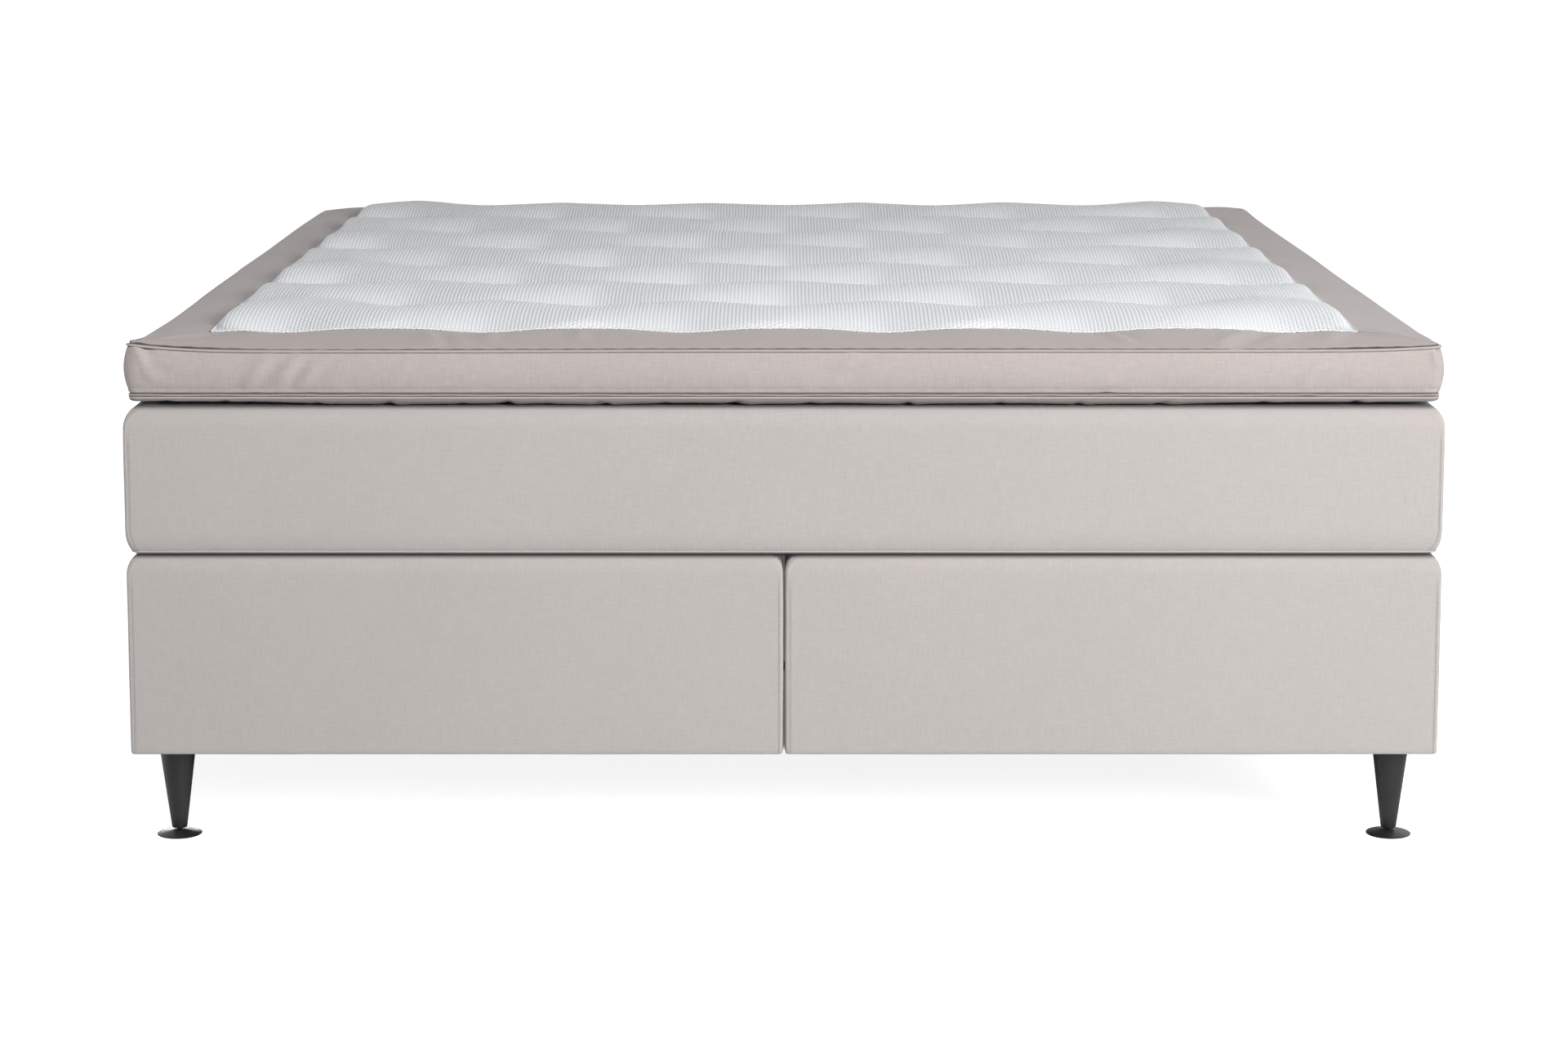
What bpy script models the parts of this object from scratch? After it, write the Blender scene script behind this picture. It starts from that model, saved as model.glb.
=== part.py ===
"""Box spring bed, 180 by 200 cm: two sprung bases side by side on tapered legs, one sprung mattress across both,
and a tufted topper in a zipped cover. Metres, +Z up. The origin is on the floor under the middle of the bed, +X is to
the right as seen from the foot end, and +Y runs from the foot end to the head end."""

import math

import bmesh
import bpy

# The whole bed
BED_WIDTH = 1.800
BED_LENGTH = 2.000
GROUND_CLEARANCE = 0.125
BASE_HEIGHT = 0.280
BASE_GAP = 0.003
MATTRESS_HEIGHT = 0.205
SEAT = 0.0003  # gap left between faces that touch
OVERRUN = 0.010  # how far a cutter passes its wall
MERGE = 0.00001

# Upholstery: fabric bonded to its wadding, wrapped over a soft rolled edge
COVER = 0.004
COVER_CORNER = 0.0045
CORNER_STEPS = 3
ROLL_STEPS = 4
CORNER_GROWTH_SHARE = 1.0  # how much rounder an upright corner gets as the roll turns over the top
BASE_ROLL_DEPTH = 0.016
BASE_ROLL_HEIGHT = 0.025
BASE_HEM_RADIUS = 0.003
HEM_LIP_WIDTH = 0.025
HEM_LIP = 0.002
DUST_CLOTH = 0.001
DUST_CLOTH_MARGIN = 0.008
MATTRESS_TOP_ROLL_DEPTH = 0.020
MATTRESS_TOP_ROLL_HEIGHT = 0.028
MATTRESS_LOW_ROLL_DEPTH = 0.013
MATTRESS_LOW_ROLL_HEIGHT = 0.036
MATTRESS_HEM_WIDTH = 0.008

# Timber frame of a base
RAIL_THICKNESS = 0.022
LEG_BOARD_WIDTH = 0.057
LEG_BOARD_THICKNESS = 0.028
SLAT_THICKNESS = 0.018
SLAT_WIDTH = 0.070
SLAT_COUNT = 11
SLAT_PLAY = 0.003  # between a slat's end and the rail
TAPE_WIDTH = 0.030
TAPE_THICKNESS = 0.002
TAPE_LAP = 0.0005  # how far a slat is let into the tape that it is stapled to
TAPE_PLACE_SHARE = 0.5  # where a tape runs, as a share of the way from the middle to the end of a slat
INNER_LEG_SETBACK = 0.550

# Springs and padding
MATTRESS_EDGE_FOAM = 0.050
FELT = 0.004
BASE_POCKET_PITCH = 0.090
MATTRESS_POCKET_PITCH = 0.075
POCKET_NECK_DEPTH = 0.014
POCKET_FLAT_SHARE = 0.28  # half the width of a pocket's crown, as a share of the pitch

# Legs, their threaded studs and the levelling feet
LEG_STEPS = 20
LEG_TOP_RADIUS = 0.025
LEG_END_RADIUS = 0.0105
STUD_RADIUS = 0.004
STUD_SLIP = 0.0005
STUD_SHORT = 0.004  # how far below the board's top an outer leg's stud ends
STEM_LENGTH = 0.030
FOOT_RADIUS = 0.031
FOOT_RIM = 0.0015
FOOT_BOSS_RADIUS = 0.008
FOOT_HEIGHT = 0.0065
HOLE_STEPS = 16
CLOTH_HOLE_SLIP = 0.003

# Plates that tie the two bases together, clamped by the inner legs
PLATE_THICKNESS = 0.0025
PLATE_WIDTH = 0.050
PLATE_END_MARGIN = 0.027
PLATE_CORNER = 0.006
PLATE_SLIP = 0.0010

# Topper
TOPPER_CLOTH = 0.002
TOPPER_CORNER = 0.020
TOPPER_CORNER_STEPS = 4
PAN_ROLL_DEPTH = 0.028
PAN_HEIGHT = 0.0112
ZIP_HEIGHT = 0.0090
ZIP_TAPE = 0.0020
ZIP_BEAD_HEIGHT = 0.0030
ZIP_BEAD = 0.0010
BAND_HEIGHT = 0.0535
BAND_BULGE = 0.0060
BAND_STEPS = 6
PIPING_RADIUS = 0.0020
PIPING_STEPS = 6
BORDER_WIDTH = 0.105
BORDER_EDGE = 0.003
BORDER_CROWN = 0.0180
BORDER_UNDERLAP = 0.004  # how far the core's top lies under the upper seam
QUILT_CREST = 0.0345  # above the upper seam
QUILT_EDGE = 0.0175
TUFT_SPACING = 0.278
TUFT_ROWS = 7
TUFT_DEPTH = 0.0240
VALLEY_DEPTH = 0.0135
QUILT_CELLS_PER_SPACING = 6
QUILT_CELLS_PER_ROW = 4

# Zip slider and its pull
SLIDER_LENGTH = 0.010
SLIDER_WALL = 0.0008
SLIDER_SLIP = 0.0003
LUG_REACH = 0.0021
LUG_HEIGHT = 0.0008
PIN_RADIUS = 0.0004
PIN_STEPS = 8
KNUCKLE_RADIUS = 0.0010
KNUCKLE_SLIP = 0.0003
PULL_LENGTH = 0.022
PULL_THICKNESS = 0.0007
SLIDER_START_MARGIN = 0.080  # from the corner of the cover to the slider at rest

# Where everything lies, worked out from the sizes above
BASE_WIDTH = (BED_WIDTH - BASE_GAP) / 2
BASE_X = (BED_WIDTH + BASE_GAP) / 4
BASE_BOTTOM = GROUND_CLEARANCE
BASE_TOP = BASE_BOTTOM + BASE_HEIGHT
HEM_BOTTOM = BASE_BOTTOM + DUST_CLOTH + SEAT
FRAME_BOTTOM = HEM_BOTTOM + HEM_LIP + SEAT
SKIN = COVER + SEAT  # from the outside of a cover to what fills it
BASE_FOAM_BOTTOM = BASE_TOP - BASE_ROLL_HEIGHT
FELT_BOTTOM = BASE_FOAM_BOTTOM - SEAT - FELT
RAIL_TOP = FELT_BOTTOM - SEAT
BOARD_TOP = FRAME_BOTTOM + LEG_BOARD_THICKNESS
SLAT_BOTTOM = BOARD_TOP + SEAT
SLAT_TOP = SLAT_BOTTOM + SLAT_THICKNESS
RAIL_BACK = SKIN + RAIL_THICKNESS + SEAT  # from the outside of a base to what stands against its rails
MATTRESS_BOTTOM = BASE_TOP + SEAT
MATTRESS_TOP = MATTRESS_BOTTOM + MATTRESS_HEIGHT
LOWER_FOAM_TOP = MATTRESS_BOTTOM + MATTRESS_LOW_ROLL_HEIGHT
UPPER_FOAM_BOTTOM = MATTRESS_TOP - MATTRESS_TOP_ROLL_HEIGHT
TOPPER_BOTTOM = MATTRESS_TOP + SEAT
PAN_TOP = TOPPER_BOTTOM + PAN_HEIGHT
ZIP_BOTTOM = PAN_TOP + SEAT
ZIP_TOP = ZIP_BOTTOM + ZIP_HEIGHT
BAND_BOTTOM = ZIP_TOP + SEAT
BAND_TOP = BAND_BOTTOM + BAND_HEIGHT
SEAM_Z = BAND_TOP + SEAT + PIPING_RADIUS
CORE_TOP = SEAM_Z - BORDER_UNDERLAP
BORDER_BOTTOM = CORE_TOP + SEAT
QUILT_WIDTH = BED_WIDTH - 2 * (BORDER_WIDTH + SEAT)
QUILT_LENGTH = BED_LENGTH - 2 * (BORDER_WIDTH + SEAT)
ROW_PITCH = QUILT_LENGTH / TUFT_ROWS
LEG_INSET = RAIL_BACK + LEG_BOARD_WIDTH / 2
PLATE_BOTTOM = BASE_BOTTOM - SEAT - PLATE_THICKNESS
PLATE_STEP = PLATE_THICKNESS + SEAT  # how much higher an outer leg sits than an inner one, which clamps a plate
LEG_LENGTH = PLATE_BOTTOM - 2 * SEAT - FOOT_HEIGHT
STUD_LENGTH = BOARD_TOP - STUD_SHORT - BASE_BOTTOM + SEAT
SIDES = {"left": -1, "right": 1}
LEG_ENDS = {"front": -1, "rear": 1}

COLOURS = {
    "cover_fabric": ((0.53, 0.50, 0.48), 0.95, 0.0),
    "topper_fabric": ((0.50, 0.46, 0.44), 0.95, 0.0),
    "quilt_knit": ((0.80, 0.81, 0.83), 0.9, 0.0),
    "dust_cloth": ((0.05, 0.05, 0.05), 0.95, 0.0),
    "pine": ((0.62, 0.44, 0.26), 0.6, 0.0),
    "foam": ((0.80, 0.78, 0.66), 0.95, 0.0),
    "felt": ((0.25, 0.24, 0.23), 1.0, 0.0),
    "pocket_fabric": ((0.75, 0.76, 0.78), 0.9, 0.0),
    "leg_black": ((0.016, 0.016, 0.016), 0.45, 0.0),
    "foot_black": ((0.012, 0.012, 0.012), 0.5, 0.0),
    "zinc": ((0.55, 0.55, 0.54), 0.35, 1.0),
}


def clear_scene():
    for old in list(bpy.data.objects):
        bpy.data.objects.remove(old)


def material(name):
    """The Principled material of that name, made the first time that it is asked for."""
    found = bpy.data.materials.get(name)
    if found:
        return found
    colour, roughness, metallic = COLOURS[name]
    made = bpy.data.materials.new(name)
    made.use_nodes = True
    shader = made.node_tree.nodes["Principled BSDF"]
    shader.inputs["Base Color"].default_value = (*colour, 1.0)
    shader.inputs["Roughness"].default_value = roughness
    shader.inputs["Metallic"].default_value = metallic
    made.diffuse_color = (*colour, 1.0)
    return made


def finish(name, bm, finish_name, location=(0, 0, 0), smooth=False):
    """Turns a bmesh into a named object with its faces outwards."""
    bmesh.ops.recalc_face_normals(bm, faces=bm.faces)
    mesh = bpy.data.meshes.new(name)
    bm.to_mesh(mesh)
    bm.free()
    mesh.materials.append(material(finish_name))
    if smooth:
        mesh.shade_smooth()
        mesh.set_sharp_from_angle(angle=math.radians(40))
    made = bpy.data.objects.new(name, mesh)
    made.location = location
    bpy.context.scene.collection.objects.link(made)
    return made


def add_box(bm, low, high):
    """Adds one closed box between two corners."""
    size = [b - a for a, b in zip(low, high)]
    made = bmesh.ops.create_cube(bm, size=1.0)["verts"]
    bmesh.ops.scale(bm, vec=size, verts=made)
    bmesh.ops.translate(bm, vec=[(a + b) / 2 for a, b in zip(low, high)], verts=made)


def add_prism(bm, outline, low, high):
    """Adds one closed solid: a flat outline of (x, y) points extruded from z low to z high."""
    base = bm.faces.new([bm.verts.new((x, y, low)) for x, y in outline])
    grown = bmesh.ops.extrude_face_region(bm, geom=[base], use_keep_orig=True)["geom"]
    top = [v for v in grown if isinstance(v, bmesh.types.BMVert)]
    bmesh.ops.translate(bm, vec=(0, 0, high - low), verts=top)


def rounded_outline(half_x, half_y, radius, steps):
    """(x, y) points of a rounded rectangle about the origin, counter-clockwise, steps + 1 points to a corner."""
    points = []
    for turn, (sx, sy) in enumerate(((1, 1), (-1, 1), (-1, -1), (1, -1))):
        for step in range(steps + 1):
            angle = (turn + step / steps) * math.pi / 2
            x = sx * (half_x - radius) + radius * math.cos(angle)
            y = sy * (half_y - radius) + radius * math.sin(angle)
            points.append((x, y))
    return points


def add_loft(bm, rings, loop=False):
    """Adds a closed skin through rings of 3-D points, capped at both ends, or joined end to end if loop."""
    rows = [[bm.verts.new(p) for p in ring] for ring in rings]
    pairs = list(zip(rows, rows[1:] + rows[:1])) if loop else list(zip(rows, rows[1:]))
    for lower, upper in pairs:
        for k in range(len(lower)):
            after = (k + 1) % len(lower)
            bm.faces.new((lower[k], lower[after], upper[after], upper[k]))
    if not loop:
        bm.faces.new(rows[0])
        bm.faces.new(rows[-1])


def plan_ring(width, length, inset, z, radius, steps):
    """One ring of a loft: the plan of a width by length rectangle, drawn in by inset, at height z."""
    return [(x, y, z) for x, y in rounded_outline(width / 2 - inset, length / 2 - inset, radius, steps)]


def upholstery_ring(width, length, inset, z, wall):
    """A ring of a covered box: wall is how far inside the cover's own surface it lies, and rounds the corner less."""
    radius = COVER_CORNER - wall + CORNER_GROWTH_SHARE * (inset - wall)
    return plan_ring(width, length, inset, z, radius, CORNER_STEPS)


def roll(depth, height, wall, level, upward):
    """(inset, z) points of a rolled edge's quarter ellipse, from the upright wall to the flat face.
    level is where the wall ends, and upward is 1 over the top or -1 under the bottom."""
    points = []
    for step in range(ROLL_STEPS + 1):
        angle = step / ROLL_STEPS * math.pi / 2
        inset = depth - (depth - wall) * math.cos(angle)
        points.append((inset, level + upward * (height - wall) * math.sin(angle)))
    return points


def turned(name, profile, finish_name, location, steps, loop=False):
    """A turned solid: (radius, z) points spun about the Z axis. A profile that leaves the axis open is a loop."""
    bm = bmesh.new()
    add_turned(bm, profile, steps, loop)
    return finish(name, bm, finish_name, location, smooth=True)


def add_turned(bm, profile, steps, loop=False, centre=(0, 0, 0)):
    verts = [bm.verts.new((centre[0] + r, centre[1], centre[2] + z)) for r, z in profile]
    ends = verts[1:] + verts[:1] if loop else verts[1:]
    edges = [bm.edges.new(pair) for pair in zip(verts, ends)]
    full_turn = 2 * math.pi
    bmesh.ops.spin(bm, geom=verts + edges, cent=centre, axis=(0, 0, 1), angle=full_turn, steps=steps, use_merge=True)
    bmesh.ops.remove_doubles(bm, verts=bm.verts, dist=MERGE)


def bore(target, centres, radius, low, high, steps):
    """Cuts upright round holes through an object with one hidden cutter. Centres are in the object's own frame."""
    bm = bmesh.new()
    for x, y in centres:
        ring = [(radius * math.cos(a), radius * math.sin(a)) for a in circle_angles(steps)]
        add_prism(bm, [(x + dx, y + dy) for dx, dy in ring], low - OVERRUN, high + OVERRUN)
    cutter = finish(target.name + "_cutter", bm, "zinc", target.location)
    cutter.hide_render = True
    cutter.display_type = "WIRE"
    cut = target.modifiers.new("bore", "BOOLEAN")
    cut.operation = "DIFFERENCE"
    cut.solver = "EXACT"
    cut.object = cutter


def circle_angles(steps):
    return [2 * math.pi * k / steps for k in range(steps)]


# The covers and what fills their rolled edges


def base_cover(name, x):
    """Fabric box, open underneath, with its hem turned in under the rails."""
    wall_top = BASE_TOP - BASE_ROLL_HEIGHT
    hem_end = SKIN + HEM_LIP_WIDTH
    outside = roll(BASE_ROLL_DEPTH, BASE_ROLL_HEIGHT, 0, wall_top, 1)[::-1]
    inside = roll(BASE_ROLL_DEPTH, BASE_ROLL_HEIGHT, COVER, wall_top, 1)
    hem = [(0, HEM_BOTTOM + BASE_HEM_RADIUS), (BASE_HEM_RADIUS, HEM_BOTTOM)]
    bm = bmesh.new()
    rings = [upholstery_ring(BASE_WIDTH, BED_LENGTH, inset, z, 0) for inset, z in outside]
    rings += [plan_ring(BASE_WIDTH, BED_LENGTH, i, z, COVER_CORNER - i / 2, CORNER_STEPS) for i, z in hem]
    for inset, z in ((hem_end, HEM_BOTTOM), (hem_end, HEM_BOTTOM + HEM_LIP), (COVER, HEM_BOTTOM + HEM_LIP)):
        rings.append(plan_ring(BASE_WIDTH, BED_LENGTH, inset, z, COVER_CORNER - COVER, CORNER_STEPS))
    rings += [upholstery_ring(BASE_WIDTH, BED_LENGTH, inset, z, COVER) for inset, z in inside]
    add_loft(bm, rings)
    return finish(name, bm, "cover_fabric", (x, 0, 0), smooth=True)


def rolled_pad(name, width, depth, height, level, upward, x):
    """Foam slab that fills a cover's rolled edge, with its flat face at level."""
    bm = bmesh.new()
    add_loft(bm, [
        upholstery_ring(width, BED_LENGTH, inset, z, SKIN) for inset, z in roll(depth, height, SKIN, level, upward)
    ])
    return finish(name, bm, "foam", (x, 0, 0), smooth=True)


def sheet(name, width, length, inset, low, high, finish_name, x):
    """Flat cloth or felt between two levels, drawn in from the outside of the bed by inset."""
    half_x, half_y = width / 2 - inset, length / 2 - inset
    bm = bmesh.new()
    add_box(bm, (-half_x, -half_y, low), (half_x, half_y, high))
    return finish(name, bm, finish_name, (x, 0, 0))


# Springs


def scalloped_outline(width, length, pitch):
    """Plan of a pocket spring unit: each fabric pocket bulges between the necks where it is glued to the next."""
    across = max(1, round(width / pitch))
    along = max(1, round(length / pitch))
    points = []
    for count, run, away, turn in ((across, width, length, 0), (along, length, width, 1),
                                   (across, width, length, 2), (along, length, width, 3)):
        step = run / count
        for k in range(count):
            middle = -run / 2 + (k + 0.5) * step
            flat = POCKET_FLAT_SHARE * step
            side = [(middle - flat, away / 2), (middle + flat, away / 2)]
            if k < count - 1:
                side.append((middle + step / 2, away / 2 - POCKET_NECK_DEPTH))
            points += [turn_quarter((u, -v), turn) for u, v in side]
    return points


def turn_quarter(point, turns):
    x, y = point
    for _ in range(turns):
        x, y = -y, x
    return x, y


def spring_unit(name, width, length, pitch, low, high, x):
    bm = bmesh.new()
    add_prism(bm, scalloped_outline(width, length, pitch), low, high)
    return finish(name, bm, "pocket_fabric", (x, 0, 0))


def edge_foam(name, width, thickness, low, high):
    """Foam frame, glued up at its corners, that keeps the edge of a spring unit upright."""
    outer = (width / 2 - SKIN, BED_LENGTH / 2 - SKIN)
    inner = (outer[0] - thickness, outer[1] - thickness)
    corners = ((1, 1), (-1, 1), (-1, -1), (1, -1))
    profile = ((outer, low), (outer, high), (inner, high), (inner, low))
    bm = bmesh.new()
    add_loft(bm, [[(sx * half[0], sy * half[1], z) for sx, sy in corners] for half, z in profile], loop=True)
    return finish(name, bm, "foam")


# The timber frame


def side_rail(name, x, outward):
    """Long rail on the side that outward points to."""
    face = outward * (BASE_WIDTH / 2 - SKIN)
    low_x, high_x = sorted((face, face - outward * RAIL_THICKNESS))
    half_y = BED_LENGTH / 2 - SKIN
    bm = bmesh.new()
    add_box(bm, (low_x, -half_y, FRAME_BOTTOM), (high_x, half_y, RAIL_TOP))
    return finish(name, bm, "pine", (x, 0, 0))


def end_rail(name, x, end):
    """Short rail between the two long ones, at the foot end or the head end."""
    half_x = BASE_WIDTH / 2 - RAIL_BACK
    face = end * (BED_LENGTH / 2 - SKIN)
    low_y, high_y = sorted((face, face - end * RAIL_THICKNESS))
    bm = bmesh.new()
    add_box(bm, (-half_x, low_y, FRAME_BOTTOM), (half_x, high_y, RAIL_TOP))
    return finish(name, bm, "pine", (x, 0, 0))


def slat_roll(name, x):
    """Cross slats linked by two woven tapes, rolled out over the leg boards."""
    half_x = BASE_WIDTH / 2 - RAIL_BACK - SLAT_PLAY
    last = BED_LENGTH / 2 - RAIL_BACK - SLAT_PLAY - SLAT_WIDTH / 2
    tapes = bmesh.new()
    for s in (-1, 1):
        middle = s * TAPE_PLACE_SHARE * half_x
        low = (middle - TAPE_WIDTH / 2, -last, SLAT_BOTTOM - TAPE_THICKNESS + TAPE_LAP)
        add_box(tapes, low, (middle + TAPE_WIDTH / 2, last, SLAT_BOTTOM + TAPE_LAP))
    made = finish(name, tapes, "pine", (x, 0, 0))
    boards = bmesh.new()
    for k in range(SLAT_COUNT):
        y = last * (2 * k / (SLAT_COUNT - 1) - 1)
        add_box(boards, (-half_x, y - SLAT_WIDTH / 2, SLAT_BOTTOM), (half_x, y + SLAT_WIDTH / 2, SLAT_TOP))
    unite(made, finish(name + "_slats", boards, "pine", (x, 0, 0)))
    return made


def leg_places(side):
    """The four leg centres of a base by name, in the bed's frame: outer legs in the corners, inner legs set back."""
    sign = SIDES[side]
    outer = sign * (BED_WIDTH / 2 - LEG_INSET)
    inner = sign * (BASE_GAP / 2 + LEG_INSET)
    places = {}
    for end, way in LEG_ENDS.items():
        places[f"{side}_outer_{end}"] = (outer, way * (BED_LENGTH / 2 - LEG_INSET))
        places[f"{side}_inner_{end}"] = (inner, way * (BED_LENGTH / 2 - INNER_LEG_SETBACK))
    return places


def leg_board(name, side, line):
    """Board along the foot of a side rail. It carries the slats, and the legs screw up into it."""
    places = [place for place_name, place in leg_places(side).items() if line in place_name]
    middle = places[0][0]
    half_y = BED_LENGTH / 2 - RAIL_BACK
    bm = bmesh.new()
    add_box(bm, (-LEG_BOARD_WIDTH / 2, -half_y, FRAME_BOTTOM), (LEG_BOARD_WIDTH / 2, half_y, BOARD_TOP))
    made = finish(name, bm, "pine", (middle, 0, 0))
    holes = [(0, py) for _, py in places]
    bore(made, holes, STUD_RADIUS + STUD_SLIP, FRAME_BOTTOM, BOARD_TOP, HOLE_STEPS)
    return made


def dust_cloth(name, side, x):
    """Thin black cloth stapled over the underside, pierced by the leg studs."""
    top = BASE_BOTTOM + DUST_CLOTH
    made = sheet(name, BASE_WIDTH, BED_LENGTH, DUST_CLOTH_MARGIN, BASE_BOTTOM, top, "dust_cloth", x)
    holes = [(px - x, py) for px, py in leg_places(side).values()]
    bore(made, holes, STUD_RADIUS + CLOTH_HOLE_SLIP, BASE_BOTTOM, top, HOLE_STEPS)
    return made


# Legs and feet


def leg(name, place, lift):
    """Tapered leg with its threaded stud. Its foot end is bored for the levelling stem, and lift is how far it
    stands above an inner leg."""
    end = FOOT_HEIGHT + SEAT
    top = end + LEG_LENGTH
    hole = STUD_RADIUS + STUD_SLIP
    profile = [(0, top + STUD_LENGTH), (STUD_RADIUS, top + STUD_LENGTH), (STUD_RADIUS, top), (LEG_TOP_RADIUS, top),
               (LEG_END_RADIUS, end), (hole, end), (hole, end + STEM_LENGTH), (0, end + STEM_LENGTH)]
    return turned(name, profile, "leg_black", (*place, lift), LEG_STEPS)


def foot(name, place):
    """Levelling foot: a thin disc that rises to a boss, and its threaded stem."""
    profile = [(0, FOOT_HEIGHT + STEM_LENGTH), (STUD_RADIUS, FOOT_HEIGHT + STEM_LENGTH), (STUD_RADIUS, FOOT_HEIGHT),
               (FOOT_BOSS_RADIUS, FOOT_HEIGHT), (FOOT_RADIUS, FOOT_RIM), (FOOT_RADIUS, 0), (0, 0)]
    return turned(name, profile, "foot_black", (*place, 0), LEG_STEPS)


def plate_outline():
    """Joining plate: one end a hole's worth of metal round the left stud, the other a slot open to the right."""
    reach = BASE_GAP / 2 + LEG_INSET + PLATE_END_MARGIN
    half = PLATE_WIDTH / 2
    slot = STUD_RADIUS + PLATE_SLIP
    stud = BASE_GAP / 2 + LEG_INSET
    arc = [(stud - slot * math.cos(a), slot * math.sin(a)) for a in slot_angles()]
    return [(reach, -slot), (reach, -half + PLATE_CORNER), (reach - PLATE_CORNER, -half),
            (-reach + PLATE_CORNER, -half), (-reach, -half + PLATE_CORNER), (-reach, half - PLATE_CORNER),
            (-reach + PLATE_CORNER, half), (reach - PLATE_CORNER, half), (reach, half - PLATE_CORNER),
            (reach, slot)] + arc


def slot_angles():
    """From the upper side of the slot round its closed end to the lower side."""
    return [math.pi / 2 * (1 - k / CORNER_STEPS) for k in range(2 * CORNER_STEPS + 1)]


def joining_plate(name, end):
    """Steel plate across the gap under both bases, clamped by an inner leg of each."""
    y = end * (BED_LENGTH / 2 - INNER_LEG_SETBACK)
    bm = bmesh.new()
    add_prism(bm, plate_outline(), PLATE_BOTTOM, PLATE_BOTTOM + PLATE_THICKNESS)
    made = finish(name, bm, "zinc", (0, y, 0))
    hole = [(-BASE_GAP / 2 - LEG_INSET, 0)]
    bore(made, hole, STUD_RADIUS + PLATE_SLIP, PLATE_BOTTOM, PLATE_BOTTOM + PLATE_THICKNESS, HOLE_STEPS)
    return made


# The sprung mattress


def mattress_cover(name):
    """Top panel and border in one, rolled at the top and drawn in at the bottom, where its hem turns under."""
    wall_top = MATTRESS_TOP - MATTRESS_TOP_ROLL_HEIGHT
    hem_end = MATTRESS_LOW_ROLL_DEPTH + MATTRESS_HEM_WIDTH
    rings = []
    for wall in (0, COVER):
        upper = roll(MATTRESS_TOP_ROLL_DEPTH, MATTRESS_TOP_ROLL_HEIGHT, wall, wall_top, 1)
        lower = roll(MATTRESS_LOW_ROLL_DEPTH, MATTRESS_LOW_ROLL_HEIGHT, wall, LOWER_FOAM_TOP, -1)
        side = [upholstery_ring(BED_WIDTH, BED_LENGTH, i, z, wall) for i, z in upper[::-1] + lower]
        hem_z = MATTRESS_BOTTOM + wall
        side.append(plan_ring(BED_WIDTH, BED_LENGTH, hem_end, hem_z, MATTRESS_LOW_ROLL_DEPTH, CORNER_STEPS))
        rings += side if wall == 0 else side[::-1]
    bm = bmesh.new()
    add_loft(bm, rings)
    return finish(name, bm, "cover_fabric", smooth=True)


def mattress_underside(name):
    """Bottom panel of the mattress, inside the hem."""
    inset = MATTRESS_LOW_ROLL_DEPTH + MATTRESS_HEM_WIDTH + SEAT
    levels = (MATTRESS_BOTTOM, MATTRESS_BOTTOM + COVER)
    bm = bmesh.new()
    add_loft(bm, [plan_ring(BED_WIDTH, BED_LENGTH, inset, z, MATTRESS_LOW_ROLL_DEPTH, CORNER_STEPS) for z in levels])
    return finish(name, bm, "cover_fabric")


# The topper


def topper_ring(inset, z):
    """A ring of the topper: its corners tighten as they draw in, until they are square."""
    radius = max(TOPPER_CORNER - inset, SEAT)
    return plan_ring(BED_WIDTH, BED_LENGTH, inset, z, radius, TOPPER_CORNER_STEPS)


def topper_loop(name, profile, finish_name):
    """A closed (inset, z) profile carried round the topper."""
    bm = bmesh.new()
    add_loft(bm, [topper_ring(inset, z) for inset, z in profile], loop=True)
    return finish(name, bm, finish_name, smooth=True)


def band_curve(wall):
    """(inset, z) points up the band, fullest at half its height, wall deep inside its outer face."""
    points = []
    for step in range(BAND_STEPS + 1):
        share = step / BAND_STEPS
        bulge = 4 * share * (1 - share)
        points.append((wall + BAND_BULGE * (1 - bulge), BAND_BOTTOM + share * BAND_HEIGHT))
    return points


def topper_bottom(name):
    """Bottom panel of the topper's cover: fabric quilted to its wadding, with rounded sides up to the zip."""
    rings = []
    for step in range(ROLL_STEPS + 1):
        angle = step / ROLL_STEPS * math.pi / 2
        inset = PAN_ROLL_DEPTH - (PAN_ROLL_DEPTH - BAND_BULGE) * math.sin(angle)
        rings.append(topper_ring(inset, PAN_TOP - PAN_HEIGHT * math.cos(angle)))
    bm = bmesh.new()
    add_loft(bm, rings)
    return finish(name, bm, "topper_fabric", smooth=True)


def topper_zip(name):
    """Zip tapes with the closed row of teeth standing out as a bead, right round the cover."""
    middle = (ZIP_BOTTOM + ZIP_TOP) / 2
    face, back = BAND_BULGE, BAND_BULGE + ZIP_TAPE
    bead = face - ZIP_BEAD
    low, high = middle - ZIP_BEAD_HEIGHT / 2, middle + ZIP_BEAD_HEIGHT / 2
    return topper_loop(name, [(back, ZIP_BOTTOM), (face, ZIP_BOTTOM), (face, low), (bead, low), (bead, high),
                              (face, high), (face, ZIP_TOP), (back, ZIP_TOP)], "topper_fabric")


def topper_piping(name):
    """Thin welt along the upper seam."""
    return topper_loop(name, [
        (BAND_BULGE + PIPING_RADIUS * math.cos(a), SEAM_Z + PIPING_RADIUS * math.sin(a))
        for a in circle_angles(PIPING_STEPS)
    ], "topper_fabric")


def topper_border(name):
    """Padded fabric frame on top, from the welt to the quilted panel."""
    outer = BAND_BULGE + PIPING_RADIUS + SEAT
    run = BORDER_WIDTH - outer
    top = []
    for step in range(ROLL_STEPS + 2):
        share = step / (ROLL_STEPS + 1)
        rise = math.sin(share * math.pi / 2)
        top.append((outer + share * run, SEAM_Z + BORDER_EDGE + (BORDER_CROWN - BORDER_EDGE) * rise))
    return topper_loop(name, [(outer, BORDER_BOTTOM), *top, (BORDER_WIDTH, BORDER_BOTTOM)], "topper_fabric")


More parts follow.
